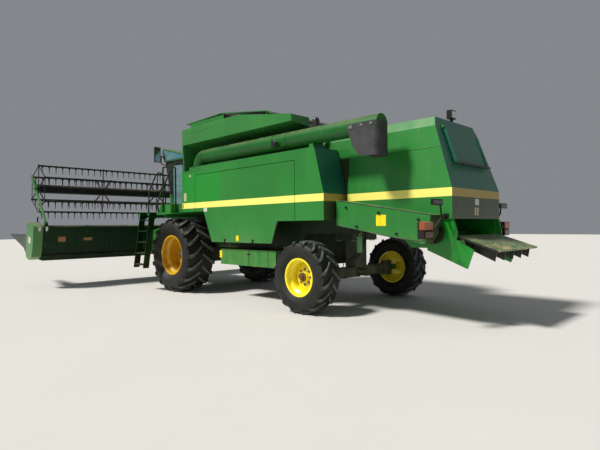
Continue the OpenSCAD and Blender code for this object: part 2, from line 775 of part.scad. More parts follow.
module handrails() {
    z0 = platform_z - seat;
    foot = z0 + 50;
    grab_x = 360;
    arch_x = 1120;
    bow_x = -120;
    color(green) {
        // grab rail from the deck's edge over to the cab
        rail([[grab_x, deck_y - 20, z0], [grab_x, deck_y - 20, foot], [grab_x, deck_y + 20, 1900],
            [grab_x, 1240, 2620], [grab_x, 1170, 2750], [grab_x, 1080, 2820], [grab_x, cab_y + 8, 2825]],
                rail_r);
        box([grab_x - 25, cab_y + seat, 2800], [grab_x + 25, cab_y + 12, 2850]);
        // arch in front of the door
        rail([[arch_x, 1360, z0], [arch_x, 1360, foot], [arch_x, 1350, 2090], [arch_x, 1340, 2240],
            [arch_x, 1180, 2600], [arch_x, 1120, 2665], [arch_x, 1050, 2670], [arch_x, 990, 2620],
            [arch_x, 930, 2200], [arch_x, 920, foot], [arch_x, 920, z0]], rail_r);
        // bow over the rear of the deck
        rail([[200, rail_y, z0], [200, rail_y, 2600], [180, rail_y, 2680], [bow_x + 90, rail_y - 60, 2690],
            [bow_x, rail_y - 120, 2650], [bow_x, rail_y - 120, z0]], rail_r);
    }
}

// Ladder from the ground to the deck
ladder_x = [450, 880];
ladder_top = [track_w / 2 + 56, platform_z + 10];
ladder_foot = [track_w / 2 + 220, 500];
step_w = 150;

module ladder() {
    dir = ladder_foot - ladder_top;
    deep = [130, 0];
    color(green) {
        for (x = ladder_x) {
            section([ladder_top, ladder_top + deep, ladder_foot + deep, ladder_foot], x - 12, x + 12);
            box([x - 12, deck_y + seat, platform_z - 130], [x + 12, ladder_top[0] + 40, platform_z]);
        }
        for (i = [0 : 4]) {
            p = ladder_top + dir * (i + 0.7) / 5;
            box([ladder_x[0], p[0] - 10, p[1] - 12], [ladder_x[1], p[0] - 10 + step_w, p[1] + 12]);
        }
    }
}

// Mirrors on arms from the cab roof
mirror_at = [1290, 1000];

module mirrors() {
    arm_x = 1215;
    color(black) both_sides() {
        box([arm_x - 30, roof_y + seat, cab_top + 60], [arm_x + 30, roof_y + 12, cab_top + 130]);
        rail([[arm_x, roof_y + 14, cab_top + 95], [mirror_at[0], mirror_at[1] - 70, cab_top + 150],
            [mirror_at[0], mirror_at[1] - 60, cab_top + 20],
                [mirror_at[0], mirror_at[1] - 70, cab_top - 40],
            [arm_x - 60, cab_y + 14, cab_top - 90]], 11);
        box([arm_x - 90, cab_y + seat, cab_top - 115], [arm_x - 30, cab_y + 12, cab_top - 65]);
        rod([mirror_at[0], mirror_at[1] - 66, cab_top + 60],
            [mirror_at[0], mirror_at[1] + 30, cab_top + 60], 9);
        box([mirror_at[0] - 20, mirror_at[1] - 40, cab_top - 15],
            [mirror_at[0] + 25, mirror_at[1] + 110, cab_top + 350]);
    }
}

// Engine with its radiator housing and exhaust, on the deck behind the tank
module engine() {
    color(dark_green) box([-4300, -540, body_top + seat], [cover_front - 60, 540, 2830]);
}

// Cover that carries the hood's lines on to the tank, with the radiator housing and the exhaust
cover_front = -3620;
cover_t = 25;
cover_y = 683;
screen_x = [-4080, -3640];
exhaust_at = [-3745, 850];

module cover_form(t) {
    end = t > 0 ? 10 : 0;
    section(both([[cover_y - t, body_top + seat - end], [cover_y - t, panel_top], [665 - t, 2780 - t * 0.3],
        [590 - t * 0.8, hood_top - t]]), hood_front + seat - end, cover_front - t);
}

module engine_cover() {
    color(green) {
        difference() {
            cover_form(0);
            cover_form(cover_t);
            for (x = [-4260 : 90 : -3800]) box([x, -750, 2660], [x + 55, -600, 2770]);
        }
        // housing of the rotary screen on the right
        difference() {
            box([screen_x[0], -1200, panel_top + seat], [screen_x[1], -cover_y + 25, 2900]);
            box([screen_x[0] + 20, -1210, panel_top + 30], [screen_x[1] - 20, -1090, 2880]);
        }
    }
    color(black) {
        for (z = [2680 : 40 : 2860]) box([screen_x[0] + 10, -1190, z], [screen_x[1] - 10, -1170, z + 12]);
        translate([exhaust_at[0], exhaust_at[1], panel_top + 15]) cylinder(h = 510, r = 60);
        translate([exhaust_at[0], exhaust_at[1], panel_top + 525]) sphere(r = 60);
        rod([exhaust_at[0], exhaust_at[1], panel_top + 80], [exhaust_at[0], 650, panel_top + 80], 42);
    }
}

// Rear axle beam on its centre pivot, with an eye at each end for the knuckle pin
king_y = 890;
king_r = 38;
eye_low = rear_tyre_r - 90;
eye_high = rear_tyre_r + 90;

// Tie rod in front of the beam: its place ahead of the kingpins, its height and radius
tie_x = 155;
tie_z = eye_low - 4;
tie_r = 16;
tie_pin_r = 13;
eye_play = 4;
steer_max = 30;

// Towing clevis at the back of the beam
tow_x = x_rear_axle - 230;
tow_z = [rear_tyre_r - 70, rear_tyre_r + 20];
tow_t = 25;

module rear_axle() {
    color(dark_green) difference() {
        union() {
            box([x_rear_axle - 85, -king_y, rear_tyre_r - 80],
                [x_rear_axle + 85, king_y, rear_tyre_r + 80]);
            both_sides() translate([x_rear_axle, king_y, eye_low]) cylinder(h = eye_high - eye_low, r = 85);
            box([x_rear_axle - 120, -150, rear_tyre_r + 79], [x_rear_axle + 120, 150, rear_low]);
            box([x_rear_axle - 200, -350, rear_low - 120], [x_rear_axle + 200, 350, rear_low]);
            // brackets and barrel of the steering ram
            for (y = [-230, 170]) box([x_rear_axle + 84, y, tie_z - 35],
                [x_rear_axle + tie_x - 10, y + 60, tie_z + 35]);
            across(x_rear_axle + tie_x, tie_z, -290, 290, 38);
        }
        across(x_rear_axle + tie_x, tie_z, -300, 300, tie_r + run);
        both_sides() translate([x_rear_axle, king_y, eye_low - 10]) cylinder(h = 220, r = king_r + run);
    }
}

// Towing clevis bolted to the back of the beam
module tow_clevis() {
    back = x_rear_axle - 85 - seat;
    color(dark_green) difference() {
        union() {
            box([back - 20, -75, tow_z[0] - 10], [back, 75, tow_z[1] + tow_t + 10]);
            for (z = tow_z) box([tow_x - 45, -60, z], [back - 19, 60, z + tow_t]);
        }
        translate([tow_x, 0, tow_z[0] - 5]) cylinder(h = tow_z[1] - tow_z[0] + tow_t + 10, r = tow_r);
    }
}

// Tie rod that runs through the ram and turns both knuckles. Its eyes are slots, because the knuckles' arms
// swing in arcs while the rod only slides
module tie_rod() {
    reach = tie_x * (1 - cos(steer_max));
    color(steel) difference() {
        union() {
            across(x_rear_axle + tie_x, tie_z, -king_y + 30, king_y - 30, tie_r);
            both_sides() box([x_rear_axle + tie_x - reach - 36, king_y - 32, tie_z - 16],
                [x_rear_axle + tie_x + 30, king_y + 32, tie_z + 16]);
        }
        both_sides() translate([x_rear_axle + tie_x, king_y, tie_z - 20]) for (x = [0, -reach])
            translate([x, 0, 0]) cylinder(h = 40, r = tie_pin_r + eye_play);
        both_sides() box([x_rear_axle + tie_x - reach, king_y - tie_pin_r - eye_play, tie_z - 20],
            [x_rear_axle + tie_x, king_y + tie_pin_r + eye_play, tie_z + 20]);
    }
}

// Arm of a knuckle that reaches forward to the tie rod's eye
module side_arm() {
    box([x_rear_axle, king_y - 30, eye_low - 45], [x_rear_axle + tie_x + 28, king_y + 30, eye_low - 23]);
    translate([x_rear_axle + tie_x, king_y, eye_low - 45]) cylinder(h = 70, r = tie_pin_r);
}

// Knuckle: fork round the axle's eye, its pin and the wheel spindle
module knuckle(side) {
    mirror([0, side < 0 ? 1 : 0, 0]) color(dark_green) {
        translate([x_rear_axle, king_y, eye_low - 45]) cylinder(h = eye_high - eye_low + 90, r = king_r);
        // steering arm with its pin
        side_arm();
        for (z = [eye_low - 45, eye_high + seat]) {
            translate([x_rear_axle, king_y, z]) cylinder(h = 45 - seat, r = 80);
            box([x_rear_axle - 60, king_y, z], [x_rear_axle + 60, king_y + 130, z + 45 - seat]);
        }
        box([x_rear_axle - 60, king_y + 92, eye_low - 45], [x_rear_axle + 60, king_y + 130, eye_high + 45]);
        across(x_rear_axle, rear_tyre_r, king_y + 125, rear_spindle_end, 55);
    }
}

// Feeder house, hinged below the cab floor
feeder_drum = 265;
lug_pin_r = 22;
lug_at = [1700, 335];      // eye of the lift cylinders on the level feeder house

module feeder_house() {
    color(green) raise_header() {
        both_sides() across(lug_at[0], lug_at[1], cyl_y - 50, cyl_y + 79, lug_pin_r);
        difference() {
            union() {
                across(pivot[0], pivot[1], -feeder_y, feeder_y, feeder_drum);
                across(pivot[0], pivot[1], -body_y + 5, body_y - 5, stub_r);
                side_plate([[pivot[0], pivot[1] + feeder_drum],
                    [pivot[0] + 150, pivot[1] + feeder_drum - 20], [wall_x - seat, 730],
                    [wall_x - seat, 130], [1750, 400], [pivot[0] - 60, pivot[1] - 255]], -feeder_y,
                        feeder_y);
            }
            box([wall_x - 250, -feeder_y + 60, 190], [wall_x + 5, feeder_y - 60, 670]);
        }
        both_sides() side_plate([[lug_at[0] - 70, lug_at[1] + 120], [lug_at[0] - 50, lug_at[1] - 45],
            [lug_at[0] + 50, lug_at[1] - 45], [lug_at[0] + 90, lug_at[1] + 120]], cyl_y + 50, cyl_y + 80);
    }
}

// Header trough: back wall with the crop opening, floor and end sheets
module header_frame() {
    color(green) raise_header() {
        difference() {
            box([wall_x, -end_y, floor_z], [wall_x + wall_t, end_y, floor_z + wall_h]);
            box([wall_x - 5, -feeder_y + 60, 190], [wall_x + wall_t + 5, feeder_y - 60, 670]);
        }
        // top beam, bottom beam on each side of the feeder house, and floor
        box([wall_x - 60, -end_y, floor_z + wall_h - 30], [wall_x + wall_t + 20, end_y, floor_z + wall_h]);
        both_sides() box([wall_x - 70, feeder_y + 40, floor_z], [wall_x + 1, end_y, floor_z + 110]);
        side_plate([[wall_x, floor_z], [knife_x - 40, floor_z - 40], [knife_x - 40, floor_z - 28],
            [wall_x + wall_t, floor_z + 14]], -end_y, end_y);
        both_sides() side_plate([[wall_x, floor_z - 5], [wall_x, floor_z + wall_h],
            [wall_x + 420, floor_z + wall_h],
            [knife_x + 60, floor_z + 330], [knife_x + 150, floor_z - 30], [knife_x - 40, floor_z - 45]],
                end_y, end_y + 20);
        // reel arm brackets on the back wall
        both_sides() for (y = [reel_end + 8, reel_end + 50]) difference() {
            side_plate([[wall_x - 40, floor_z + wall_h - 40], [wall_x + 70, floor_z + wall_h - 40],
                [arm_pivot[0] + 50, arm_pivot[1] + 30], [arm_pivot[0] - 50, arm_pivot[1] + 30]], y, y + 10);
            across(arm_pivot[0], arm_pivot[1], y - 5, y + 15, 20 + run);
        }
    }
}

// Drive shields and crop dividers at both ends
module header_ends() {
    outer = end_y + 20;
    color(green) raise_header() both_sides() {
        side_plate([[wall_x - 60, floor_z + 90], [wall_x - 90, floor_z + 300],
            [wall_x - 60, floor_z + wall_h - 30],
            [wall_x - 20, floor_z + wall_h], [wall_x + 330, floor_z + wall_h],
                [wall_x + 400, floor_z + wall_h - 120],
            [wall_x + 430, floor_z + 120], [wall_x + 300, floor_z - 20], [wall_x + 100, floor_z - 20]],
            outer, outer + 200);
        side_plate([[knife_x + 120, floor_z + 60], [knife_x + 60, floor_z + 400],
            [divider_tip - 500, floor_z + 130],
            [divider_tip, floor_z], [divider_tip - 40, floor_z - 30], [knife_x + 150, floor_z - 40],
            [wall_x + 425, floor_z - 20], [wall_x + 425, floor_z + 60]], outer, outer + 40);
        // drive: reel pulley, countershaft and knife gear
        across(wall_x + 560, floor_z + 520, outer, outer + 90, 120);
        across(wall_x + 560, floor_z + 520, outer + 88, outer + 120, 45);
        across(wall_x + 620, floor_z + 200, outer, outer + 110, 95);
        box([knife_x - 150, outer, floor_z + 20], [knife_x + 40, outer + 130, floor_z + 190]);
        // guard bar over the drive
        rail([[wall_x + 380, outer + 100, floor_z + wall_h - 90],
            [wall_x + 720, outer + 100, floor_z + wall_h - 160],
            [knife_x + 100, outer + 60, floor_z + 390], [knife_x + 110, outer + 20, floor_z + 330]], 18);
    }
}

// Knife back with its guards
guard_pitch = 76.2 * 2;
module cutter_bar() {
    n = floor((cut_w - 40) / guard_pitch);
    color(steel) raise_header() {
        box([knife_x - 40, -end_y + seat, floor_z - 44], [knife_x + 20, end_y - seat, floor_z - 28]);
        for (i = [0 : n]) translate([0, (i - n / 2) * guard_pitch, 0])
            side_plate([[knife_x, floor_z - 46], [knife_x, floor_z - 16], [knife_x + 120, floor_z - 34],
                [knife_x + 118, floor_z - 42]], -11, 11);
    }
}

// Header auger: tube with a flight of each hand that meets at the feeder house
auger_tube_r = 190;

// One flight as a swept strip about Y: from y0 to y1 with the given pitch and hand
module flight(y0, y1, pitch, hand) {
    steps = ceil(abs(y1 - y0) / pitch * 16);
    t = 6;
    pts = [for (i = [0 : steps]) let (y = y0 + (y1 - y0) * i / steps, a = hand * 360 * (y - y0) / pitch)
        for (q = [[auger_tube_r - 12, -t], [flight_r, -t], [flight_r, t], [auger_tube_r - 12, t]])
            [q[0] * cos(a), y + q[1], q[0] * sin(a)]];
    faces = concat(
        [[0, 1, 2, 3]],
        [for (i = [0 : steps - 1], k = [0 : 3]) [i * 4 + k, (i + 1) * 4 + k, (i + 1) * 4 + (k + 1) % 4,
            i * 4 + (k + 1) % 4]],
        [[steps * 4 + 3, steps * 4 + 2, steps * 4 + 1, steps * 4]]
    );
    polyhedron(points = pts, faces = faces, convexity = 10);
}

module header_auger() {
    color(dark_green) raise_header() translate([auger_x, 0, auger_z]) {
        across(0, 0, -end_y + 12, end_y - 12, auger_tube_r);
        for (i = [0 : 5]) rotate([0, i * 60, 0]) translate([0, (i - 2.5) * 120, 0]) cylinder(h = flight_r,
            r = 9);
        both_sides() flight(560, end_y - 72, 560, 1);
        both_sides() across(0, 0, end_y - 13, end_y - seat, 40);
    }
}

// Everything on the reel arms is made with the arms level and then turned up by arm_rest
module raise_reel() {
    raise_header() translate([arm_pivot[0], 0, arm_pivot[1]]) rotate([0, -arm_rest, 0])
        translate([-arm_pivot[0], 0, -arm_pivot[1]]) children();
}

arm_eye = 620;         // from the arm's pivot to the eye of the reel cylinder
arm_y0 = reel_end + 20;
arm_y1 = reel_end + 48;

module reel_arms() {
    color(green) raise_reel() both_sides() difference() {
        union() {
            side_plate([[arm_pivot[0] - 30, arm_pivot[1] - 30], [arm_pivot[0] - 30, arm_pivot[1] + 30],
                [arm_pivot[0] + 400, arm_pivot[1] + 45], [arm_pivot[0] + arm_len + arm_tip, arm_pivot[1] + 35],
                [arm_pivot[0] + arm_len + arm_tip, arm_pivot[1] - 35],
                    [arm_pivot[0] + 400, arm_pivot[1] - 45]], arm_y0, arm_y1);
            across(arm_pivot[0], arm_pivot[1], arm_y0 - 22, arm_y1 + 12, 20);
            across(arm_pivot[0] + arm_len, arm_pivot[1], arm_y0 - 10, arm_y1 + 12, 70);
            across(arm_pivot[0] + arm_eye, arm_pivot[1], arm_y1 - 10, reel_cyl_y + 14, reel_pin_r);
        }
        across(arm_pivot[0] + arm_len, arm_pivot[1], arm_y0 - 20, arm_y1 + 20, 30 + run);
    }
}

// Reel: central tube with hexagonal spiders; the tine bars turn in the spiders' corners
reel_phase = 20;
spider_n = 5;
spider_end = reel_end - 30;
spider_gap = 2 * spider_end / (spider_n - 1);
spiders = [for (i = [0 : spider_n - 1]) -spider_end + i * spider_gap];
bat_r = 21;
tine_t = 8;
spider_t = 10;

module at_reel() {
    raise_header() translate([reel_c[0], 0, reel_c[1]]) children();
}

module reel_frame() {
    color(black) at_reel() difference() {
        union() {
            across(0, 0, -reel_end + 20, reel_end - 20, 105);
            across(0, 0, -arm_y1, arm_y1, 30);
            for (y = spiders, i = [0 : 5]) rotate([0, -(reel_phase + 60 * i), 0]) {
                box([90, y - spider_t / 2, -22], [reel_r, y + spider_t / 2, 22]);
                across(reel_r, 0, y - spider_t / 2, y + spider_t / 2, 38);
            }
            for (y = [spiders[0], spiders[spider_n - 1]],
                i = [0 : 5]) rotate([0, -(reel_phase + 60 * i), 0])
                translate([reel_r, 0, 0]) rotate([0, -120, 0])
                    box([0, y - spider_t / 2, -14], [reel_r, y + spider_t / 2, 14]);
        }
        for (i = [0 : 5]) rotate([0, -(reel_phase + 60 * i), 0]) across(reel_r, 0, -end_y, end_y,
            bat_r + run);
    }
}

// Tine bar with its row of tines, which stay pointing down as the reel turns
module bat(i) {
    a = reel_phase + 60 * i;
    n = round(spider_gap / tine_pitch);
    color(black) raise_header() translate([reel_c[0] + reel_r * cos(a), 0, reel_c[1] + reel_r * sin(a)])
        rotate([0, lift_rest, 0]) {
            across(0, 0, -reel_end + 12, reel_end - 12, bat_r);
            for (y = [for (s = [0 : spider_n - 2], k = [0 : n - 1]) spiders[s] + (k + 0.5) * spider_gap / n])
                translate([-tine_t / 2, y, 0]) rotate([90, 0, 90]) linear_extrude(height = tine_t)
                    polygon([[-26, -bat_r + 6], [26, -bat_r + 6], [9, -bat_r - 30], [5, -bat_r - tine_l],
                        [-5, -bat_r - tine_l], [-9, -bat_r - 30]]);
        }
}

// Lift cylinders below the feeder house
lug_raised = raised(lug_at);
cyl_dir = lug_raised - cyl_base;
cyl_angle = atan2(cyl_dir[1], cyl_dir[0]);
cyl_len = norm(cyl_dir);
barrel_len = 1250;
eye_slack = 7;         // play of a rod's eye round its pin

module on_cylinder(base, angle) {
    translate([base[0], 0, base[1]]) rotate([0, -angle, 0]) children();
}

module lift_barrels() {
    color(black) on_cylinder(cyl_base, cyl_angle) both_sides() translate([0, cyl_y, 0]) {
        difference() {
            translate([30, 0, 0]) rotate([0, 90, 0]) cylinder(h = barrel_len - 30, r = 45);
            translate([90, 0, 0]) rotate([0, 90, 0]) cylinder(h = barrel_len, r = 28 + run);
        }
        across(0, 0, -40, 79, 25);
        across(0, 0, -40, 48, 46);
    }
}

module lift_rods() {
    color(steel) on_cylinder(cyl_base, cyl_angle) both_sides() translate([0, cyl_y, 0]) difference() {
        union() {
            translate([barrel_len - 260, 0, 0]) rotate([0, 90,
                0]) cylinder(h = cyl_len - barrel_len + 240, r = 28);
            across(cyl_len, 0, -40, 48, 48);
        }
        across(cyl_len, 0, -50, 60, lug_pin_r + eye_slack);
    }
}

// Reel lift cylinders beside the end sheets
reel_base = [wall_x + 500, 620];
reel_cyl_y = arm_y1 + 17;
eye_rest = arm_pivot + arm_eye * [cos(arm_rest), sin(arm_rest)];
reel_cyl_dir = eye_rest - reel_base;
reel_cyl_len = norm(reel_cyl_dir);
reel_cyl_angle = atan2(reel_cyl_dir[1], reel_cyl_dir[0]);
reel_barrel_len = 365;
reel_rod_in = 320;
reel_pin_r = 10;

module reel_lift_barrels() {
    color(black) raise_header() on_cylinder(reel_base,
        reel_cyl_angle) both_sides() translate([0, reel_cyl_y, 0]) {
        difference() {
            rotate([0, 90, 0]) cylinder(h = reel_barrel_len, r = 16);
            translate([30, 0, 0]) rotate([0, 90, 0]) cylinder(h = reel_barrel_len, r = 9 + run);
        }
        across(0, 0, -14, end_y - reel_cyl_y - seat, 12);
    }
}

module reel_lift_rods() {
    color(steel) raise_header() on_cylinder(reel_base,
        reel_cyl_angle) both_sides() translate([0, reel_cyl_y, 0]) {
        difference() {
            union() {
                translate([reel_rod_in, 0, 0]) rotate([0, 90,
                    0]) cylinder(h = reel_cyl_len - reel_rod_in - 15, r = 9);
                across(reel_cyl_len, 0, -14, 10, 28);
            }
            across(reel_cyl_len, 0, -20, 20, reel_pin_r + eye_slack);
        }
    }
}

// Tail lamps on bowed brackets, marker boards and the roof lamp
module lamps() {
    color(black) {
        both_sides() {
            box([-6090, hood_y + seat, 1465], [-6010, hood_y + 12, 1535]);
            rail([[-6050, hood_y + 8, 1500], [-6060, 900, 1480], [-6060, 1120, 1320],
                [-6040, 1180, 1320]], 14);
            box([-6060, 1150, 1200], [-5960, 1350, 1420]);
            rail([[-6060, 900, 1480], [-6080, 960, 1560], [-6080, 980, 1660]], 12);
            box([-6095, 940, 1640], [-6065, 1200, 1720]);
        }
        box([-5770, -10, hood_top], [-5750, 60, hood_top + 60]);
        box([-5800, -40, hood_top + 50], [-5720, 100, hood_top + 180]);
    }
}

module place() {
    translate([-origin_x, 0, 0]) children();
}

place() separator_body();
place() front_axle();
place() side_panels();
place() side_door(1);  // side_door_left
place() side_door(-1);  // side_door_right
place() rear_hood();
place() rear_hatch();
place() chopper();
place() spreader_board();
place() tank_shell();
place() tank_cover();
place() auger_elbow();
place() auger_tube();
place() auger_spout();
place() cab_shell();
place() cab_glass();
place() cab_door();
place() cab_door_glass();
place() cab_interior();
place() cab_seat();
place() platform();
place() handrails();
place() ladder();
place() mirrors();
place() engine();
place() engine_cover();
place() rear_axle();
place() tow_clevis();
place() knuckle(1);  // knuckle_left
place() knuckle(-1);  // knuckle_right
place() tie_rod();
place() front_tyre(1);  // tyre_front_left
place() front_tyre(-1);  // tyre_front_right
place() front_rim(1);  // rim_front_left
place() front_rim(-1);  // rim_front_right
place() rear_tyre(1);  // tyre_rear_left
place() rear_tyre(-1);  // tyre_rear_right
place() rear_rim(1);  // rim_rear_left
place() rear_rim(-1);  // rim_rear_right
place() feeder_house();
place() header_frame();
place() header_ends();
place() cutter_bar();
place() header_auger();
place() reel_arms();
place() reel_frame();
place() bat(1);  // bat_1
place() bat(2);  // bat_2
place() bat(3);  // bat_3
place() bat(4);  // bat_4
place() bat(5);  // bat_5
place() bat(6);  // bat_6
place() lift_barrels();
place() lift_rods();
place() reel_lift_barrels();
place() reel_lift_rods();
place() lamps();
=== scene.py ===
# %% [markdown]
# A combine harvester, dressed for its portrait
#
# The machine comes packed from CAD: every panel, tyre, tine bar and cylinder is already in its place.
# What a drawing lacks is what makes it look real: paint that has faded and caught dust, rubber with a
# grey bloom, bolts, pipes, lenses, a seat that somebody has sat on. Each step here adds one of those.
# Lengths are metres, +X is forward, +Y is the machine's left and +Z is up. Most places are counted from
# the front axle, so they follow it if the drawing grows.

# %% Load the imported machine
import math

import bmesh
import bpy
import numpy as np
from mathutils import Matrix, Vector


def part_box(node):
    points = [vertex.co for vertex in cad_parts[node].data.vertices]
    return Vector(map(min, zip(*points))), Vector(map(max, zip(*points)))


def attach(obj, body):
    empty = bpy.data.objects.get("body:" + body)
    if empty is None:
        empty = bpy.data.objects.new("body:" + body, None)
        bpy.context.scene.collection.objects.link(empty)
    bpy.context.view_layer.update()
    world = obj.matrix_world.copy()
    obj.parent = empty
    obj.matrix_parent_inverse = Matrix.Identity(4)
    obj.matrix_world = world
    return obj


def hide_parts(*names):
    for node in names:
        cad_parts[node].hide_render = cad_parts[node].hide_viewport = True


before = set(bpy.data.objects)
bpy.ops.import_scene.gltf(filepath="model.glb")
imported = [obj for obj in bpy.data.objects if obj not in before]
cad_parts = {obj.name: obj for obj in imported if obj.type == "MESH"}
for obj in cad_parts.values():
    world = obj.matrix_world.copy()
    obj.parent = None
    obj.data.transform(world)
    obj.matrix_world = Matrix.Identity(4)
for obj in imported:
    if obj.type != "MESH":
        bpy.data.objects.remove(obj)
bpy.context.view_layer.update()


def box(node):
    """Lowest and highest corner of a CAD node, as two arrays."""
    low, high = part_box(node)
    return np.array(low), np.array(high)


def middle(node):
    """Middle of a CAD node's box: half of low + high."""
    low, high = box(node)
    return (low + high) / 2


def spot(x, y, z):
    """A place from the front axle: x forward of it, y from the machine's middle, z above the ground."""
    return np.array([front_axle + x, y, z])


front_axle = float(middle("tyre_front_left")[0])
rear_axle = float(middle("tyre_rear_left")[0])
print("front axle at x =", round(front_axle, 3), "and rear axle at x =", round(rear_axle, 3))

# %% [markdown]
# The camera
#
# The picture was taken from the left rear, at about the height of the wheels' tops. A camera is a place
# and three directions: right, up and backwards. They could be set by eye in the viewport, but here they
# follow from a heading, a small tilt and a small roll, which were solved from points of the machine that
# show in the picture, so the view can be worked out again.

# %% Camera
scene = bpy.context.scene
heading, tilt, roll = math.radians(45.083), math.radians(0.098), math.radians(-0.511)
lens_mm, sensor_mm, farthest = 28.51, 36.0, 200.0
place = spot(-9.186, 6.710, 1.387)
forward = np.array([math.cos(heading) * math.cos(tilt), -math.sin(heading) * math.cos(tilt),
                    math.sin(tilt)])
level_right = np.array([-math.sin(heading), -math.cos(heading), 0.0])
level_up = np.cross(level_right, forward)
right = level_right * math.cos(roll) + level_up * math.sin(roll)
up = np.cross(right, forward)

turn = np.eye(4)
turn[:3, 0], turn[:3, 1], turn[:3, 2], turn[:3, 3] = right, up, -forward, place
camera = bpy.data.objects.new("camera", bpy.data.cameras.new("camera"))
camera.data.sensor_width = sensor_mm
camera.data.lens = lens_mm
camera.data.clip_end = farthest
camera.matrix_world = Matrix(turn.tolist())
scene.collection.objects.link(camera)
scene.camera = camera
print("camera at", place.round(3))

# %% [markdown]
# Shader maths as plain sums
#
# A material is a graph of nodes. Wiring it by hand in the shader editor is fine for one finish, but this
# machine needs nearly forty that share their dust and wear. So a small class holds one output of a graph
# and knows how to add, take away, multiply and raise to a power, and a mask can be written as a formula.

# %% Helper: a wire with arithmetic
class Wire:
    """One output socket of a material's graph. An expression on it adds its Math nodes."""

    def __init__(self, finish, socket):
        self.finish, self.socket = finish, socket

    def sum_with(self, operation, first, second):
        """A Math node on two values, at least one of which is a wire."""
        return self.finish.add("ShaderNodeMath", {"operation": operation}, {0: first, 1: second})

    def __add__(self, other):
        return self.sum_with("ADD", self, other)

    def __radd__(self, other):
        return self.sum_with("ADD", other, self)

    def __sub__(self, other):
        return self.sum_with("SUBTRACT", self, other)

    def __rsub__(self, other):
        return self.sum_with("SUBTRACT", other, self)

    def __mul__(self, other):
        return self.sum_with("MULTIPLY", self, other)

    def __rmul__(self, other):
        return self.sum_with("MULTIPLY", other, self)

    def __pow__(self, other):
        return self.sum_with("POWER", self, other)

    def __rpow__(self, other):
        return self.sum_with("POWER", other, self)

    def above(self, edge):
        """1 where the value is above the edge, 0 elsewhere."""
        return self.sum_with("GREATER_THAN", self, edge)

    def below(self, edge):
        """1 where the value is below the edge, 0 elsewhere."""
        return self.sum_with("LESS_THAN", self, edge)

    def at_most(self, other):
        """The value, held at a limit."""
        return self.sum_with("MINIMUM", self, other)

    def sine(self):
        """The sine of the value, in radians."""
        return self.finish.add("ShaderNodeMath", {"operation": "SINE"}, {0: self})

    def ramp(self, low, high):
        """0 at low, 1 at high, smooth between them and held outside them."""
        return self.finish.add("ShaderNodeMapRange", {"interpolation_type": "SMOOTHSTEP"},
                               {"Value": self, "From Min": low, "From Max": high})


print("a wire adds, takes away, multiplies and compares")

# %% [markdown]
# A finish that is being built
#
# Each finish starts from Blender's Principled shader. One method adds any other node: it takes the node's
# type, its settings and what goes into its sockets. Noise, mixes and bumps are shorthands for it. A finish
# puts itself on the shelf under its name, so that the pieces can ask for it later.

# %% Helper: a finish
finishes = {}


class Finish:
    """A material on the shelf: add() wires a node, and the other methods are shorthands for it."""

    def __init__(self, name, **constants):
        finishes[name] = self.material = bpy.data.materials.new(name)
        self.material.use_nodes = True
        self.tree = self.material.node_tree
        self.shader = self.tree.nodes["Principled BSDF"]
        for socket, value in constants.items():
            self.shader.inputs[socket.replace("_", " ")].default_value = value

    def add(self, kind, settings=None, inputs=None, output=0):
        """One node of the given type, with its settings first and then its values and links."""
        node = self.tree.nodes.new(kind)
        for key, value in (settings or {}).items():
            setattr(node, key, value)
        for key, value in (inputs or {}).items():
            if isinstance(value, Wire):
                self.tree.links.new(value.socket, node.inputs[key])
            else:
                node.inputs[key].default_value = value
        return Wire(self, node.outputs[output])

    def coordinates(self, output="Object"):
        """The point in the piece's own frame, or the way it faces with output Normal."""
        return self.add("ShaderNodeTexCoord", None, None, output)

    def split(self, vector):
        """The three numbers of a vector, as three wires."""
        node = self.add("ShaderNodeSeparateXYZ", None, {0: vector}).socket.node
        return [Wire(self, socket) for socket in node.outputs]

    def place(self):
        """x, y and z of a point of the piece."""
        return self.split(self.coordinates())

    def facing(self):
        """The way that the surface faces, in the piece's own frame."""
        return self.split(self.coordinates("Normal"))

    def stretched(self, scale):
        """Object coordinates multiplied by a scale for each axis."""
        return self.add("ShaderNodeVectorMath", {"operation": "MULTIPLY"},
                        {0: self.coordinates(), 1: scale})

    def noise(self, scale, detail=4.0, rough=0.55, vector=None):
        """Cloudy noise from 0 to 1, by default on Object coordinates."""
        return self.add("ShaderNodeTexNoise", None, {"Vector": vector or self.coordinates(), "Scale": scale,
                                                     "Detail": detail, "Roughness": rough})

    def blend(self, mask, first, second):
        """The first colour where the mask is 0 and the second where it is 1."""
        return self.add("ShaderNodeMix", {"data_type": "RGBA"}, {0: mask, 6: first, 7: second}, 2)

    def relief(self, height, strength, distance=0.002):
        """Bumps the surface by a height."""
        self.feed("Normal", self.add("ShaderNodeBump", None, {"Strength": strength, "Distance": distance,
                                                              "Height": height}))

    def feed(self, socket, value):
        """Links a wire to one of the shader's sockets."""
        self.tree.links.new(value.socket, self.shader.inputs[socket])


print("shelf of finishes ready")

# %% [markdown]
# Colours
#
# A colour picker shows display values from 0 to 255, while a shader takes linear light. Typing linear
# numbers would work, but nobody can read them, so each tone is written as it looks and converted here.

# %% Helper: colours
def linear(red, green, blue):
    """Display value to linear light: c / 12.92 when dark, else ((c + 0.055) / 1.055) to the power 2.4."""
    c = np.array([red, green, blue]) / 255.0
    c = np.where(c <= 0.04045, c / 12.92, ((c + 0.055) / 1.055) ** 2.4)
    return (float(c[0]), float(c[1]), float(c[2]), 1.0)


def lit(tone, share, lift=0.0):
    """A lighter or darker shade of a tone: share x tone + lift, at most 1."""
    return tuple(min(1.0, share * c + lift) for c in tone[:3]) + (1.0,)


dust = linear(176, 160, 122)
print("dust in linear light:", np.round(dust[:3], 3))

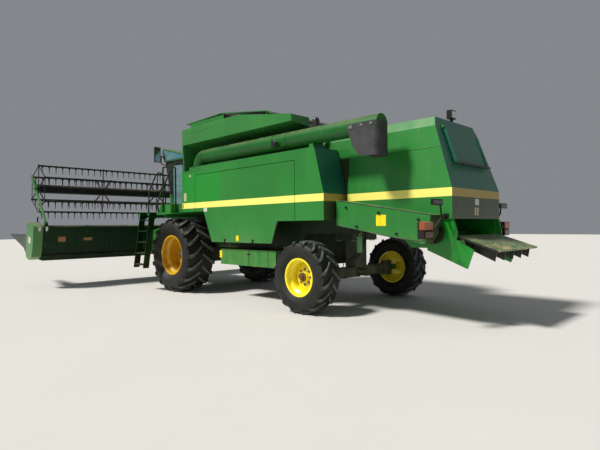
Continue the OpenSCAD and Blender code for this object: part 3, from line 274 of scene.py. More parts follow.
# %% [markdown]
# Field dust
#
# Everything on a harvester carries the same dust: straw-coloured, thick on ledges and low down, thin on
# upright sheets, and streaked where rain has run. It could be painted by hand on each piece. One mask for
# all of them is less work and agrees from piece to piece: it is made from the height of the point, the
# way that the surface faces and two sizes of noise, and each finish mixes it in by its own amount.

# %% Helper: dust mask
def dust_mask(finish, ledge=0.62, upright=0.03, low=0.34):
    """ledge x (how much the face looks up) + upright + low x (how near the ground), broken up by noise."""
    height = finish.place()[2]
    looks_up = finish.facing()[2].ramp(0.25, 0.95)
    clouds = finish.noise(2.3, 6.0, 0.62)
    streaks = finish.noise(1.0, 3.0, 0.5, finish.stretched((9.0, 9.0, 0.9)))
    near_ground = 1.0 - height.ramp(0.2, 1.5)
    amount = looks_up * ledge + near_ground * low + upright
    return (amount * (clouds.ramp(0.3, 0.72) * 0.8 + streaks.ramp(0.4, 0.7) * 0.45)).at_most(1.0)


print("dust mask ready")

# %% [markdown]
# The stripe and the tones of the body
#
# The body wears one pale yellow stripe at the same height all round, and its sheets differ: the panels'
# front part had a later coat, and the sheets that look back carry painted shade with a painted bluish
# reflection of the sky, stripe included. Separate meshes or painted images could show that. Masks made from
# a point's height and from the way that the surface faces keep the stripe in line over panels, doors and
# hood with no seam, and it turns with a door that opens.

# %% Masks on panels and hood
# The second stripe tone is the stripe in painted shade, used on faces that look back.
stripe_yellow, stripe_shaded = linear(248, 236, 118), linear(158, 138, 64)
stripe_low, stripe_high = 1.771, 1.888
coat_start, coat_end, coat_top = front_axle - 1.56, front_axle - 0.1, 2.50
hood_start = front_axle - 4.2


def body_stripe(paint):
    """1 between the stripe's two heights, on faces that look outwards to the left, right or rear."""
    x, y, z = paint.place()
    nx, ny, _ = paint.facing()
    band = z.above(stripe_low) * z.below(stripe_high)
    sideways = (y * ny).above(0.35)
    rearwards = nx.below(-0.5) * x.below(hood_start)
    return band * (sideways + rearwards).at_most(1.0)


def repainted(paint):
    """1 on the panels' front part, which had a later coat than the rest."""
    x, _, z = paint.place()
    edge = paint.noise(3.0, 3.0) * 0.02
    return (x + edge).above(coat_start) * x.below(coat_end) * z.above(stripe_low) * z.below(coat_top)


def rear_shade(paint):
    """1 on faces that look back, whose darker, bluer tone is painted shade with a painted reflection of the
    sky.
    """
    return (0.0 - paint.facing()[0]).ramp(0.6, 0.8)


def rear_skirt_shade(paint):
    """1 on the rear sheet below the stripe, whose dark brownish tone is painted shade."""
    return rear_shade(paint) * paint.place()[2].below(stripe_low)


print("stripe from z =", stripe_low, "to", stripe_high)

# %% [markdown]
# Parts of a node that have their own tone
#
# A CAD node can hold more than one painted thing: the cab has black posts between its windows, the frame
# a housing in body colour, and the end shields dark points in front. Cutting the node up would be one way.
# A mask by place leaves the mesh alone, which matters here, because CAD's meshes aren't changed.

# %% Masks on cab, housing and shields
window_sill, visor_z = 2.16, 2.953
divider_start = front_axle + 3.02


def window_posts(paint):
    """1 on the cab's posts between the window sills and the roof."""
    z = paint.place()[2]
    return z.above(window_sill) * z.below(visor_z)


def lower_box(paint):
    """1 on the side faces of the lower housing, which are painted like the panels above them."""
    _, y, z = paint.place()
    return (y * y).above(1.1) * z.below(1.12)


def divider(paint):
    """1 on the crop dividers in front of the end shields, which are painted dark."""
    return paint.place()[0].above(divider_start)


print("crop dividers start at x =", round(divider_start, 3))

# %% [markdown]
# Hatch and spreader board
#
# The rear hatch carries the rear sheets' painted shade, with a painted highlight on its left edge strip, and
# has a dark ledge by which it is lifted. Straw lies on the spreader board in patches, more towards its free
# edge, and the fins under it are rubber. Loose straw as geometry would be thousands of stalks; from a step
# away it is a patch of its colour, so noise with a limit does.

# %% Masks on hatch and board
hatch_ledge, strip_y = 2.262, 0.470
board_end, board_start = front_axle - 6.72, front_axle - 6.3


def hatch_lit_strip(paint):
    """1 on the hatch's left edge strip, which is painted lighter: a painted highlight of the sun."""
    _, y, z = paint.place()
    return y.above(strip_y) * z.above(hatch_ledge)


def hatch_foot(paint):
    """1 on the ledge by which the hatch is lifted."""
    return paint.place()[2].below(hatch_ledge)


def board_fins(paint):
    """1 on the upright guide fins under the board, which are rubber."""
    ny = paint.facing()[1]
    return (ny * ny).above(0.5) * (paint.place()[1] ** 2.0).below(0.5)


def straw_patches(paint):
    """Straw that lies on the board in patches, most of it towards the free edge."""
    towards_edge = 1.0 - paint.place()[0].ramp(board_end, board_start)
    return (paint.noise(7.0, 6.0, 0.7) + towards_edge * 0.10).ramp(0.60, 0.66)


print("masks for hatch and board ready")

# %% [markdown]
# Green paint
#
# Farm green is a gloss coat that the sun has dulled. It shows slow changes of tone from sheet to sheet, a
# faint orange peel, pale runs under rain, rubbed spots and a few chips down to rust. The stripe is a film,
# so it flakes more than the paint does. A painted image could hold all this, but it would have to be drawn
# for each sheet. Noise at several sizes does it for all of them, laid on from the paint outwards with the
# dust last, which is the order in which it happened.

# %% Helper: green paint
worn = 0.5
run_green, rubbed_green, rust_brown = linear(96, 140, 84), linear(140, 165, 128), linear(92, 70, 48)


def green_finish(name, tone, stripe=None, gloss=0.36, dirt=(0.36, 0.02, 0.34), tints=(), shine=0.45):
    """Dulled gloss paint. stripe gives a mask for the band, tints give masks with their own tones."""
    paint = Finish(name, Coat_Roughness=0.22, Specular_IOR_Level=shine)
    tones = paint.noise(0.9, 2.0, 0.5).ramp(0.35, 0.65)
    sheet = paint.blend(tones, lit(tone, 0.90), lit(tone, 1.08))
    for mask, colour in tints:
        sheet = paint.blend(mask(paint), sheet, colour)
    runs = paint.noise(1.0, 4.0, 0.6, paint.stretched((26.0, 26.0, 1.3))).ramp(0.56, 0.78)
    sheet = paint.blend(runs * 0.28, sheet, run_green)
    if stripe:
        flakes = paint.noise(55.0, 5.0, 0.7).ramp(0.70, 0.74)
        # On faces that look back the stripe takes its darker tone: painted shade.
        band = paint.blend(rear_shade(paint), stripe_yellow, stripe_shaded)
        sheet = paint.blend(stripe(paint) * (1.0 - flakes * 0.55), sheet, band)
    rubbed = paint.noise(21.0, 5.0, 0.7).ramp(0.66, 0.76) * worn * 0.3
    sheet = paint.blend(rubbed, sheet, rubbed_green)
    chips = paint.noise(9.0, 8.0, 0.75).ramp(0.745, 0.755) * worn
    sheet = paint.blend(chips, sheet, rust_brown)
    grime = dust_mask(paint, *dirt)
    paint.feed("Base Color", paint.blend(grime, sheet, dust))
    rough = paint.noise(5.0, 3.0) * 0.16 + gloss - 0.08 + grime * 0.4 + chips * 0.3
    paint.feed("Roughness", rough.at_most(0.95))
    paint.feed("Coat Weight", (1.0 - grime) * (shine * 0.45))
    peel = paint.noise(140.0, 2.0) * 0.25 + paint.noise(4.0, 1.0) * 0.9
    paint.relief(peel - chips * 0.3, 0.12, 0.0015)


print("paint helper ready")

# %% [markdown]
# One paint, many sheets
#
# The shop that built the machine used one green. Years and light have made a dozen of it, and the table
# below gives each its tone, its gloss and how much dust it holds. The header's back wall, ladder and rails
# are the darkest, and the frame's housings and axles nearly so: both tones are painted shade.

# %% Green paints
body_green, fresh_green = linear(30, 119, 43), linear(12, 132, 34)
# The rear tone is painted shade with a painted bluish reflection of the sky, and the shade green is painted
# shade.
rear_shade_green, shade_green = linear(18, 94, 74), linear(12, 46, 20)

# Faces that look back get painted shade and a painted sky reflection, darkest and browner below the stripe.
green_finish("striped_green", body_green, body_stripe,
             tints=[(repainted, fresh_green), (rear_shade, rear_shade_green), (rear_skirt_shade, linear(50, 66, 36))])
green_finish("plain_green", body_green)
# The hatch's base tone is the rear sheets' painted shade and sky reflection, and its edge strip a painted
# highlight.
green_finish("hatch_green", rear_shade_green,
             tints=[(hatch_lit_strip, linear(96, 142, 72)), (hatch_foot, linear(24, 30, 26))])
green_finish("tank_green", linear(42, 118, 50), dirt=(0.34, 0.03, 0.34))
green_finish("bright_green", linear(12, 124, 30), dirt=(0.4, 0.0, 0.12))
# The frame green's dark tone is painted shade; the lower housing's side faces get the body green.
green_finish("frame_shaded_green", shade_green, gloss=0.55, dirt=(0.5, 0.04, 0.26), shine=0.25,
             tints=[(lower_box, body_green)])
# The header green's near-black tone is painted shade on the back wall, ladder and rails.
green_finish("header_shaded_green", linear(3, 40, 12), gloss=0.5, dirt=(0.3, 0.0, 0.03), shine=0.14)
green_finish("ends_green", linear(52, 118, 54), dirt=(0.3, 0.02, 0.2),
             tints=[(divider, linear(14, 34, 20))])
green_finish("board_green", linear(58, 102, 64), gloss=0.5, dirt=(0.35, 0.0, 0.1),
             tints=[(straw_patches, linear(186, 164, 108)), (board_fins, linear(20, 22, 20))])
green_finish("cab_green", body_green, dirt=(0.34, 0.02, 0.3), tints=[(window_posts, linear(20, 24, 24))])
print("greens:", sorted(finishes))

# %% [markdown]
# Rubber of the tyres
#
# Tyres are near-black rubber with a grey bloom on the walls. Soil and chaff stay between the lugs, while
# the tips are painted a lighter blue-grey: partly bloom, partly a painted highlight of the sun on the rubber.
# An unwrapped texture would need seams. The distance from the wheel's own axle already tells wall, groove
# and tip apart, so the masks are made from that, and so are the moulded rings.

# %% Tyre rubber
ring_waves = 330.0  # radians a metre, a moulded ring every 19 mm


def wheel_radius(finish, x_axle, z_axle):
    """Distance from the axle: root of (x - x axle) squared + (z - z axle) squared."""
    x, _, z = finish.place()
    return ((x - x_axle) ** 2.0 + (z - z_axle) ** 2.0) ** 0.5


def tyre_finish(name, x_axle, node):
    """Rubber by its distance from the axle: wall, groove, then a tip with a painted highlight; rings = sine
    of it.
    """
    low, high = box(node)
    reach = float(high[2] - low[2]) / 2
    rubber = Finish(name, Specular_IOR_Level=0.35)
    radius = wheel_radius(rubber, x_axle, float(low[2] + reach))
    tread = radius.ramp(reach - 0.075, reach - 0.045)
    lit_tips = radius.ramp(reach - 0.036, reach - 0.018)
    grain = rubber.noise(34.0, 6.0, 0.7)
    bloom = rubber.noise(2.6, 5.0, 0.6)
    wall = rubber.blend(bloom.ramp(0.3, 0.7), linear(16, 19, 19), linear(38, 38, 32))
    groove = rubber.blend(grain.ramp(0.40, 0.72), linear(18, 20, 20), linear(62, 58, 46))
    # The bars' lighter tone on the tips is partly grey bloom and partly a painted highlight.
    bars = rubber.blend(grain.ramp(0.3, 0.7), linear(58, 66, 66), linear(104, 111, 107))
    rubber.feed("Base Color", rubber.blend(tread, wall, rubber.blend(lit_tips, groove, bars)))
    rubber.feed("Roughness", (grain * 0.25 + 0.46 - lit_tips * 0.08).at_most(0.95))
    rings = (radius * ring_waves).sine().above(0.55)
    ring_zone = (1.0 - radius.ramp(reach - 0.19, reach - 0.17))
    mouldings = rings * radius.ramp(reach - 0.30, reach - 0.27) * ring_zone
    rubber.relief(grain * 0.5 + mouldings * 0.6, 0.5, 0.004)


tyre_finish("tyre_rubber_front", front_axle, "tyre_front_left")
tyre_finish("tyre_rubber_rear", rear_axle, "tyre_rear_left")
print("rubber for both sizes of tyre")

# %% [markdown]
# Enamel of the rims
#
# The rims are enamel yellow. Clouds of grime and fine specks dull it, more on the front wheels, which
# stand in the dust of the ladder and the feeder and have gone ochre.

# %% Rim enamel
def rim_finish(name, tone, dulled, cover):
    """Enamel with a share of grime: clouds x cover + specks x 0.4."""
    enamel = Finish(name, Specular_IOR_Level=0.5, Coat_Roughness=0.2)
    speck = enamel.noise(38.0, 6.0, 0.7)
    clouds = enamel.noise(3.2, 5.0, 0.6)
    grime = (clouds.ramp(0.42, 0.75) * cover + speck.ramp(0.62, 0.72) * 0.4).at_most(1.0)
    enamel.feed("Base Color", enamel.blend(grime, tone, dulled))
    enamel.feed("Roughness", grime * 0.4 + 0.34)
    enamel.feed("Coat Weight", (1.0 - grime) * 0.3)
    enamel.relief(speck, 0.15, 0.001)


# The front rims' ochre enamel and heavier dulling are painted shade.
rim_finish("rim_yellow", linear(250, 232, 42), linear(150, 120, 50), 0.45)
rim_finish("rim_shaded_ochre", linear(210, 164, 20), linear(134, 98, 34), 0.6)
print("rims in two ages of enamel")

# %% [markdown]
# Dark parts
#
# Five finishes are close in colour and differ in how they take light: black paint on the reel and the
# brackets, soft rubber on the chute, moulded plastic in the cab, the engine's grey paint, and bare steel
# on the knife and rods. They share one recipe, and only its numbers change.

# %% Dark finishes and steel
def dark_finish(name, tone, rough, grain_scale, grain_depth, dirt_share=0.3, metal=0.0, shine=0.4):
    """A dark tone with fine grain, cloudy wear and dust."""
    surface = Finish(name, Specular_IOR_Level=shine, Metallic=metal)
    grain = surface.noise(grain_scale, 5.0, 0.65)
    clouds = surface.noise(4.0, 5.0, 0.6)
    dirt = dust_mask(surface) * dirt_share
    faded = surface.blend(clouds.ramp(0.35, 0.7), tone, lit(tone, 1.7, 0.006))
    surface.feed("Base Color", surface.blend(dirt, faded, dust))
    surface.feed("Roughness", (grain * 0.2 + rough - 0.1 + dirt * 0.3).at_most(0.95))
    surface.relief(grain, grain_depth, 0.001)


dark_finish("black_paint", linear(10, 11, 11), 0.5, 60.0, 0.15, shine=0.25)
dark_finish("chute_rubber", linear(44, 46, 47), 0.66, 90.0, 0.4)
dark_finish("cab_plastic", linear(48, 50, 52), 0.55, 160.0, 0.3)
dark_finish("engine_grey", linear(58, 62, 58), 0.6, 50.0, 0.3, 0.9)
dark_finish("bright_steel", linear(168, 168, 165), 0.38, 120.0, 0.2, 0.5, 0.85)
print("finishes:", len(finishes))

# %% [markdown]
# Glass
#
# The cab's panes are tinted sheets with a film of dust. Real refraction would cost render time and show
# little through flat glass, so a pane is a smooth surface that lets part of the light straight through.

# %% Window glass
glass = Finish("tinted_glass", Base_Color=linear(120, 158, 160), Roughness=0.04, Specular_IOR_Level=0.6)
glass.feed("Alpha", glass.noise(1.4, 4.0, 0.5).ramp(0.45, 0.8) * 0.10 + 0.42)
print("tinted glass ready")

# %% [markdown]
# Engine cover, tank lid and unloading tube
#
# The engine cover is one CAD node with the exhaust on it, so its finish tells the pipe from the sheet by
# place: close to the pipe's axis it is rusty black steel, elsewhere green paint. The tank's lid is nearly
# black on top and has green side flaps, and the tube is a deeper green than the body behind it.

# %% Paints on the roof
pipe_x, pipe_y, pipe_reach, stack_foot = front_axle - 3.745, 0.85, 0.075, 2.64


def near_pipe(paint):
    """1 within 75 mm of the exhaust's axis, above the cover."""
    x, y, z = paint.place()
    ring = (((x - pipe_x) ** 2.0 + (y - pipe_y) ** 2.0) ** 0.5).below(pipe_reach)
    return ring * z.above(stack_foot)


def cover_top(paint):
    """1 on the lid's faces that don't look sideways, so that its side flaps stay green."""
    ny = paint.facing()[1]
    return 1.0 - (ny * ny).above(0.6)


green_finish("cover_green", body_green, tints=[(near_pipe, linear(34, 29, 27))], gloss=0.42)
green_finish("lid_green", body_green, tints=[(cover_top, linear(30, 34, 30))], dirt=(0.25, 0.02, 0.2))
green_finish("tube_green", linear(16, 90, 28), gloss=0.42, dirt=(0.30, 0.0, 0.2), shine=0.3)
print("exhaust axis at x =", round(pipe_x, 3))

# %% [markdown]
# Blank films
#
# Plates and stickers catch the eye even when they can't be read. They hold no print here: the film's own
# colour, yellowed in clouds and rubbed in specks, is enough. The same recipe serves for the brown grease
# on the hubs and for the paint of the small pressure bottle.

# %% Films
def film_finish(name, tone, rough=0.45):
    """Printed film or painted plate with no print on it: yellowed in clouds, rubbed in specks."""
    sheet = Finish(name, Specular_IOR_Level=0.4)
    old = sheet.noise(30.0, 4.0, 0.6)
    speck = sheet.noise(160.0, 4.0, 0.7).ramp(0.62, 0.7)
    faded = sheet.blend(old.ramp(0.4, 0.7), tone, lit(tone, 0.72))
    sheet.feed("Base Color", sheet.blend(speck * 0.5, faded, dust))
    sheet.feed("Roughness", old * 0.2 + rough - 0.1)
    sheet.relief(speck, 0.2, 0.0004)


film_finish("film_yellow", linear(246, 220, 20))
film_finish("film_pale", linear(206, 208, 196))
film_finish("film_orange", linear(196, 104, 40))
film_finish("film_brown", linear(152, 112, 66))
film_finish("hub_brown", linear(96, 66, 34), 0.7)
film_finish("film_cream", linear(190, 178, 140))
film_finish("bottle_green", linear(110, 168, 116), 0.5)
print("finishes:", len(finishes))

# %% [markdown]
# Zinc
#
# Bolts, nuts and clips are galvanised: a grey metal with spangles as small as a fingernail, and rust where
# the zinc has gone. Two noises show both.

# %% Zinc steel
zinc = Finish("zinc_steel", Metallic=0.85, Specular_IOR_Level=0.5)
spangle = zinc.noise(60.0, 3.0, 0.6)
rust = zinc.noise(30.0, 5.0, 0.7).ramp(0.62, 0.74)
plating = zinc.blend(spangle, linear(120, 122, 116), linear(158, 158, 148))
zinc.feed("Base Color", zinc.blend(rust * 0.6, plating, linear(112, 74, 44)))
zinc.feed("Roughness", spangle * 0.2 + 0.35 + rust * 0.3)
zinc.relief(spangle, 0.1, 0.0005)
print("zinc ready")

# %% [markdown]
# Lenses, panes and mirrors
#
# A lamp's lens is cast plastic with small prisms. Modelling them would take thousands of faces, so two
# sine waves, one by height and one across, darken and bump the surface instead. Panes and mirrors are
# smooth, and only a smear of dust shows that they are there.

# %% Lenses and panes
prism_waves = 900.0  # radians a metre, a prism every 7 mm


def lens_finish(name, tone):
    """Cast plastic: prisms = sine of height x sine of y, on a gloss face."""
    lens = Finish(name, Roughness=0.18, Specular_IOR_Level=0.6, Coat_Weight=0.5, Coat_Roughness=0.1)
    _, y, z = lens.place()
    ribs, cross = (z * prism_waves).sine(), (y * prism_waves).sine()
    lens.feed("Base Color", lens.blend((ribs * cross + 1.0) * 0.3, tone, lit(tone, 0.6)))
    lens.relief(ribs + cross, 0.3, 0.0008)


def pane_finish(name, tone, metal=0.0):
    """Smooth sheet of glass or acrylic with a film of dust in clouds."""
    pane = Finish(name, Specular_IOR_Level=0.6, Metallic=metal)
    smear = pane.noise(5.0, 5.0, 0.6).ramp(0.45, 0.8)
    pane.feed("Base Color", pane.blend(smear * 0.25, tone, dust))
    pane.feed("Roughness", smear * 0.3 + 0.07)


lens_finish("lens_amber", linear(156, 80, 28))
lens_finish("lens_red", linear(84, 18, 14))
lens_finish("lens_dark", linear(40, 30, 28))
lens_finish("lens_clear", linear(196, 204, 204))
# The roof panes' pale teal is partly a painted reflection of the sky.
pane_finish("pane_teal", linear(66, 118, 130))
pane_finish("mirror_silver", linear(190, 198, 200), 1.0)
print("finishes:", len(finishes))

# %% [markdown]
# Seat cloth
#
# The driver's seat is covered in a plain grey weave that has faded where people sit. Warp and weft are two
# sine waves, about 2.4 mm from thread to thread, and their product bumps the surface.

# %% Seat cloth
thread_waves = 2600.0  # radians a metre, a thread every 2.4 mm
cloth = Finish("seat_cloth", Specular_IOR_Level=0.2)
warp, weft = ((along * thread_waves).sine() for along in cloth.place()[:2])
fade = cloth.noise(6.0, 4.0, 0.6).ramp(0.35, 0.7)
cloth.feed("Base Color", cloth.blend(fade, linear(60, 62, 64), linear(92, 88, 80)))
cloth.feed("Roughness", fade * 0.1 + 0.85)
cloth.relief(warp * weft, 0.4, 0.0006)
print("finishes:", len(finishes))

# %% [markdown]
# Dressing the CAD nodes
#
# Most nodes already have their final shape and only need a finish. The table below says which one each
# node wears. The five that aren't in it, the tyres and the seat, are replaced by pieces made further on.

# %% Which finish each CAD node wears
wardrobe = {
    "striped_green": ["side_panels", "side_door_left", "side_door_right", "rear_hood"],
    "plain_green": ["platform", "feeder_house", "reel_arms"],
    "hatch_green": ["rear_hatch"],
    "ends_green": ["header_ends"],
    "board_green": ["spreader_board"],
    "tank_green": ["tank_shell"],
    "cab_green": ["cab_shell", "cab_door"],
    "cover_green": ["engine_cover"],
    "bright_green": ["chopper"],
    "frame_shaded_green": ["separator_body", "front_axle", "rear_axle", "tow_clevis", "knuckle_left",
                    "knuckle_right"],
    "header_shaded_green": ["header_frame", "header_auger", "handrails", "ladder"],
    "rim_shaded_ochre": ["rim_front_left", "rim_front_right"],
    "rim_yellow": ["rim_rear_left", "rim_rear_right"],
    "black_paint": ["mirrors", "reel_frame", "bat_1", "bat_2", "bat_3", "bat_4", "bat_5", "bat_6",
                    "lift_barrels", "reel_lift_barrels", "lamps"],
    "lid_green": ["tank_cover"],
    "tube_green": ["auger_tube", "auger_elbow"],
    "chute_rubber": ["auger_spout"],
    "cab_plastic": ["cab_interior"],
    "engine_grey": ["engine"],
    "bright_steel": ["cutter_bar", "lift_rods", "reel_lift_rods", "tie_rod"],
    "tinted_glass": ["cab_glass", "cab_door_glass"],
}
for finish_name, nodes in wardrobe.items():
    for node in nodes:
        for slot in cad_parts[node].material_slots:
            slot.material = finishes[finish_name]
undressed = sorted(set(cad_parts) - {node for nodes in wardrobe.values() for node in nodes})
print("nodes that a piece replaces:", undressed)

# %% [markdown]
# Round shapes as grids of points
#
# Everything below is a skin over a grid: rows of points, each row a closed ring. A turned part is a profile
# times a circle. Blender's screw tool could make one too, but a grid is one sum over whole arrays, and
# copies of it are the grid plus a list of places, so a hundred bolts become one mesh. Rings at both ends
# shrink to a point, which closes the skin.

# %% Helper: turned parts
axis_order = {"x": [1, 0, 2], "y": [0, 1, 2], "z": [0, 2, 1]}


def circle(sides, start=0.0):
    """Unit circle: (cos a, sin a) at equal steps of a."""
    a = start + np.linspace(0.0, 2.0 * np.pi, sides, endpoint=False)
    return np.stack([np.cos(a), np.sin(a)], axis=-1)


def turned(profile, sides, axis="y"):
    """Solid of revolution: point = along x axis + radius x (cos a, sin a), for rows of [radius, along]."""
    profile = np.asarray(profile, float)
    ring = circle(sides)
    grid = np.empty((len(profile), sides, 3))
    grid[..., 0] = profile[:, :1] * ring[:, 0]
    grid[..., 1] = profile[:, 1:]
    grid[..., 2] = profile[:, :1] * ring[:, 1]
    return grid[..., axis_order[axis]]


def capped(grid):
    """Adds a ring at each end that has shrunk to the middle of the end ring."""
    first = np.repeat(grid[..., :1, :, :].mean(axis=-2, keepdims=True), grid.shape[-2], axis=-2)
    last = np.repeat(grid[..., -1:, :, :].mean(axis=-2, keepdims=True), grid.shape[-2], axis=-2)
    return np.concatenate([first, grid, last], axis=-3)


print("turned parts ready")

# %% [markdown]
# Bars
#
# Pipes, seals, lips and wires are round bars: a circle carried along a path and kept square to it. A curve
# object with a bevel would do the same, but it would have to be turned into a mesh before it could ride on
# a body. Bends are made by cutting the corners of the path a few times.

# %% Helper: bars
def softened(points, passes=3):
    """Corner cutting: each pass puts points at a quarter and three quarters of every side."""
    p = np.asarray(points, float)
    for _ in range(passes):
        cut = np.stack([0.75 * p[:-1] + 0.25 * p[1:], 0.25 * p[:-1] + 0.75 * p[1:]], axis=1).reshape(-1, 3)
        p = np.vstack([p[:1], cut, p[-1:]])
    return p


def bar(path, radius, sides=8):
    """Round bar: ring = path point + radius x (cos a x side + sin a x up), square to the path."""
    path = np.asarray(path, float)
    along = np.gradient(path, axis=0)
    along /= np.linalg.norm(along, axis=1, keepdims=True)
    spare = np.eye(3)[np.argmin(np.abs(along).max(axis=0))]
    side = np.cross(along, spare)
    side /= np.linalg.norm(side, axis=1, keepdims=True)
    up = np.cross(side, along)
    ring = circle(sides)
    return capped(path[:, None] + radius * (ring[:, :1] * side[:, None] + ring[:, 1:] * up[:, None]))


print("bars ready")

# %% [markdown]
# Flat shapes, copies and mirror images
#
# Folded sheet, films and pads are boxes and plates. No made edge is sharp, so a box here is four rings of
# eight points, the outer two drawn in, which cuts every edge. A bevel modifier would do the same, at the
# cost of one modifier for each of hundreds of small things.

# %% Helper: blocks, plates and copies
def block(low, high, edge):
    """Box with cut edges: rings of eight points at four heights, the outer two drawn in by the cut."""
    low, high = np.asarray(low, float), np.asarray(high, float)
    rings = []
    for inset, z in ((edge, low[2]), (0.0, low[2] + edge), (0.0, high[2] - edge), (edge, high[2])):
        x0, y0 = low[:2] + inset
        x1, y1 = high[:2] - inset
        rings.append([[x0 + edge, y0, z], [x1 - edge, y0, z], [x1, y0 + edge, z], [x1, y1 - edge, z],
                      [x1 - edge, y1, z], [x0 + edge, y1, z], [x0, y1 - edge, z], [x0, y0 + edge, z]])
    return capped(np.array(rings))


def plate(outline, axis, start, end):
    """Flat sheet: the outline, given in the two other axes, at both ends of its thickness."""
    outline = np.asarray(outline, float)
    grid = np.empty((2, len(outline), 3))
    grid[..., 0] = outline[:, 0]
    grid[..., 1] = np.array([start, end])[:, None]
    grid[..., 2] = outline[:, 1]
    return capped(grid[..., axis_order[axis]])


def at(grid, places):
    """Copies of a grid: point = place + point of the grid."""
    return np.asarray(grid) + np.asarray(places, float)[:, None, None, :]


def mirrored(grid):
    """The same grid on the machine's other side."""
    return np.asarray(grid) * np.array([1.0, -1.0, 1.0])


def both(*grids):
    """Each grid and its mirror image."""
    return [side for grid in grids for side in (grid, mirrored(grid))]


print("flat shapes ready")

# %% [markdown]
# From grids to a piece
#
# A piece is one mesh that rides on one body of the machine, so that it swings with a door or turns with a
# wheel. The faces join each ring to the next. Doubles are merged where a ring has shrunk to a point, and
# the normals are then worked out again, because a mirrored grid has turned inside out.

# %% Helper: a piece from grids
def skin(name, grids, finish, body="machine", smooth=38.0):
    """One closed mesh from grids of shape (..., rows, ring, 3), which rides on a CAD body."""
    points, faces, count = [], [], 0
    for grid in grids:
        rows, ring = grid.shape[-3:-1]
        copies = grid.reshape(-1, rows * ring, 3)
        r, c = np.meshgrid(np.arange(rows - 1), np.arange(ring), indexing="ij")
        step = (c + 1) % ring
        quads = np.stack([r * ring + c, r * ring + step, (r + 1) * ring + step, (r + 1) * ring + c], -1)
        starts = count + np.arange(len(copies)) * rows * ring
        faces.append((quads.reshape(1, -1, 4) + starts[:, None, None]).reshape(-1, 4))
        points.append(copies.reshape(-1, 3))
        count += len(copies) * rows * ring
    mesh = bpy.data.meshes.new(name)
    mesh.from_pydata(np.concatenate(points).tolist(), [], np.concatenate(faces).tolist())
    work = bmesh.new()
    work.from_mesh(mesh)
    bmesh.ops.remove_doubles(work, verts=work.verts, dist=1e-5)
    bmesh.ops.recalc_face_normals(work, faces=work.faces)
    work.to_mesh(mesh)
    work.free()
    mesh.polygons.foreach_set("use_smooth", np.ones(len(mesh.polygons), bool))
    mesh.set_sharp_from_angle(angle=math.radians(smooth))
    mesh.materials.append(finishes[finish])
    piece = bpy.data.objects.new(name, mesh)
    scene.collection.objects.link(piece)
    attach(piece, body)
    print(name, "has", len(mesh.polygons), "faces")
    return piece


# %% [markdown]
# Tyres
#
# A traction tyre is a smooth carcass with two rows of curved bars that meet in a staggered V. The carcass
# is a revolved profile: the walls bulge from the bead to half height and turn into a nearly flat crown.
# The plain CAD tyre gives the outside size, and this one replaces it with the same size.

# %% Tyre carcass
wall_rows, crown_rows = 26, 8
bead_share, bulge_share, half_height = 0.36, 0.495, 0.55
crown_drop, bead_height = 0.008, 0.13


def carcass_profile(rim_r, carcass_r, width):
    """Half width over height t: 0.36 w at the bead, 0.495 w at half height, 0.43 w at the crown's edge."""
    t = np.linspace(0.0, 1.0, wall_rows)
    bulge = np.sin(np.minimum(t / half_height, 1.0) * np.pi / 2)
    wall = bead_share + (bulge_share - bead_share) * bulge
    shoulder = 0.065 * np.clip((t - half_height) / (1.0 - half_height), 0.0, 1.0) ** 2.4
    radius = rim_r + (carcass_r - crown_drop - rim_r) * t
    ridge = 0.004 * np.exp(-((t - bead_height) / 0.035) ** 2)
    side = np.stack([radius, (wall - shoulder) * width + ridge], axis=-1)
    across = np.linspace(side[-1, 1], 0.0, crown_rows + 1)[1:]
    crown = np.stack([carcass_r - crown_drop * (across / side[-1, 1]) ** 2, across], axis=-1)
    return np.vstack([side, crown])


print("carcass profile has", wall_rows + crown_rows, "rows")

# %% [markdown]
# Lugs
#
# The bars are what makes a field tyre. Each is a small loft of its own, eight points round and a dozen
# stations long, wider at its root, chamfered at the top and falling off over the shoulder. It could be
# modelled once and repeated by an array modifier, but then the array would have to meet its own start.
# As a formula the angle of each bar is a number, and a whole row comes from one array.

# %% Tread bars
bar_stations = 12


def tread_bars(tip_r, lug_h, width, lugs, profile, outboard):
    """Both rows of bars: point = radius x (cos a, sin a), with a = start + setback(u) + offset / tip_r.

    Station u runs from the tyre's middle to its shoulder, and the bar is set back as it goes out.
    """
    u = np.linspace(0.0, 1.0, bar_stations)
    pitch = 2 * np.pi / lugs
    across = width * (0.015 + 0.470 * u)
    setback = np.interp(u, [0.0, 0.66, 1.0], [0.0, 0.60, 0.80]) * pitch
    setback += 0.05 * np.sin(np.pi * u) * pitch
    crown = profile[::-1][:crown_rows + 2]
    floor_r = np.interp(across, crown[:, 1], crown[:, 0])
    top_r = tip_r - lug_h * 0.95 * np.clip((u - 0.60) / 0.40, 0.0, 1.0) ** 1.8
    top_r = np.maximum(top_r, floor_r + 0.004)
    base = (0.052 + 0.014 * u) * width
    top = (0.032 + 0.018 * u) * width
    offset = np.stack([-base, -base * 0.96, -top - 0.004, -top, top, top + 0.004, base * 0.96, base], -1)
    low = floor_r - 0.030
    radius = np.stack([low, floor_r, top_r - 0.007, top_r, top_r, top_r - 0.007, floor_r, low], -1)
    rows = []
    for side, first in ((outboard, 0.15), (-outboard, 0.65)):
        start = -np.pi / 2 - (np.arange(lugs) + first) * pitch
        angle = start[:, None, None] + setback[None, :, None] + offset[None] / tip_r
        grid = np.empty(angle.shape + (3,))
        grid[..., 0] = radius * np.cos(angle)
        grid[..., 1] = side * across[:, None]
        grid[..., 2] = radius * np.sin(angle)
        rows.append(capped(grid))
    return rows


print("each bar has", bar_stations, "stations")

# %% [markdown]
# Four tyres
#
# The front pair is the driven one: larger, with eighteen bars a side and deep lugs. The rear pair steers
# and has sixteen shallower ones. Each tyre is one mesh that rides on its own wheel.

# %% Tyres
bead_seat = 0.0138
ends = {"front": ("front_left", "front_right"), "rear": ("rear_left", "rear_right")}


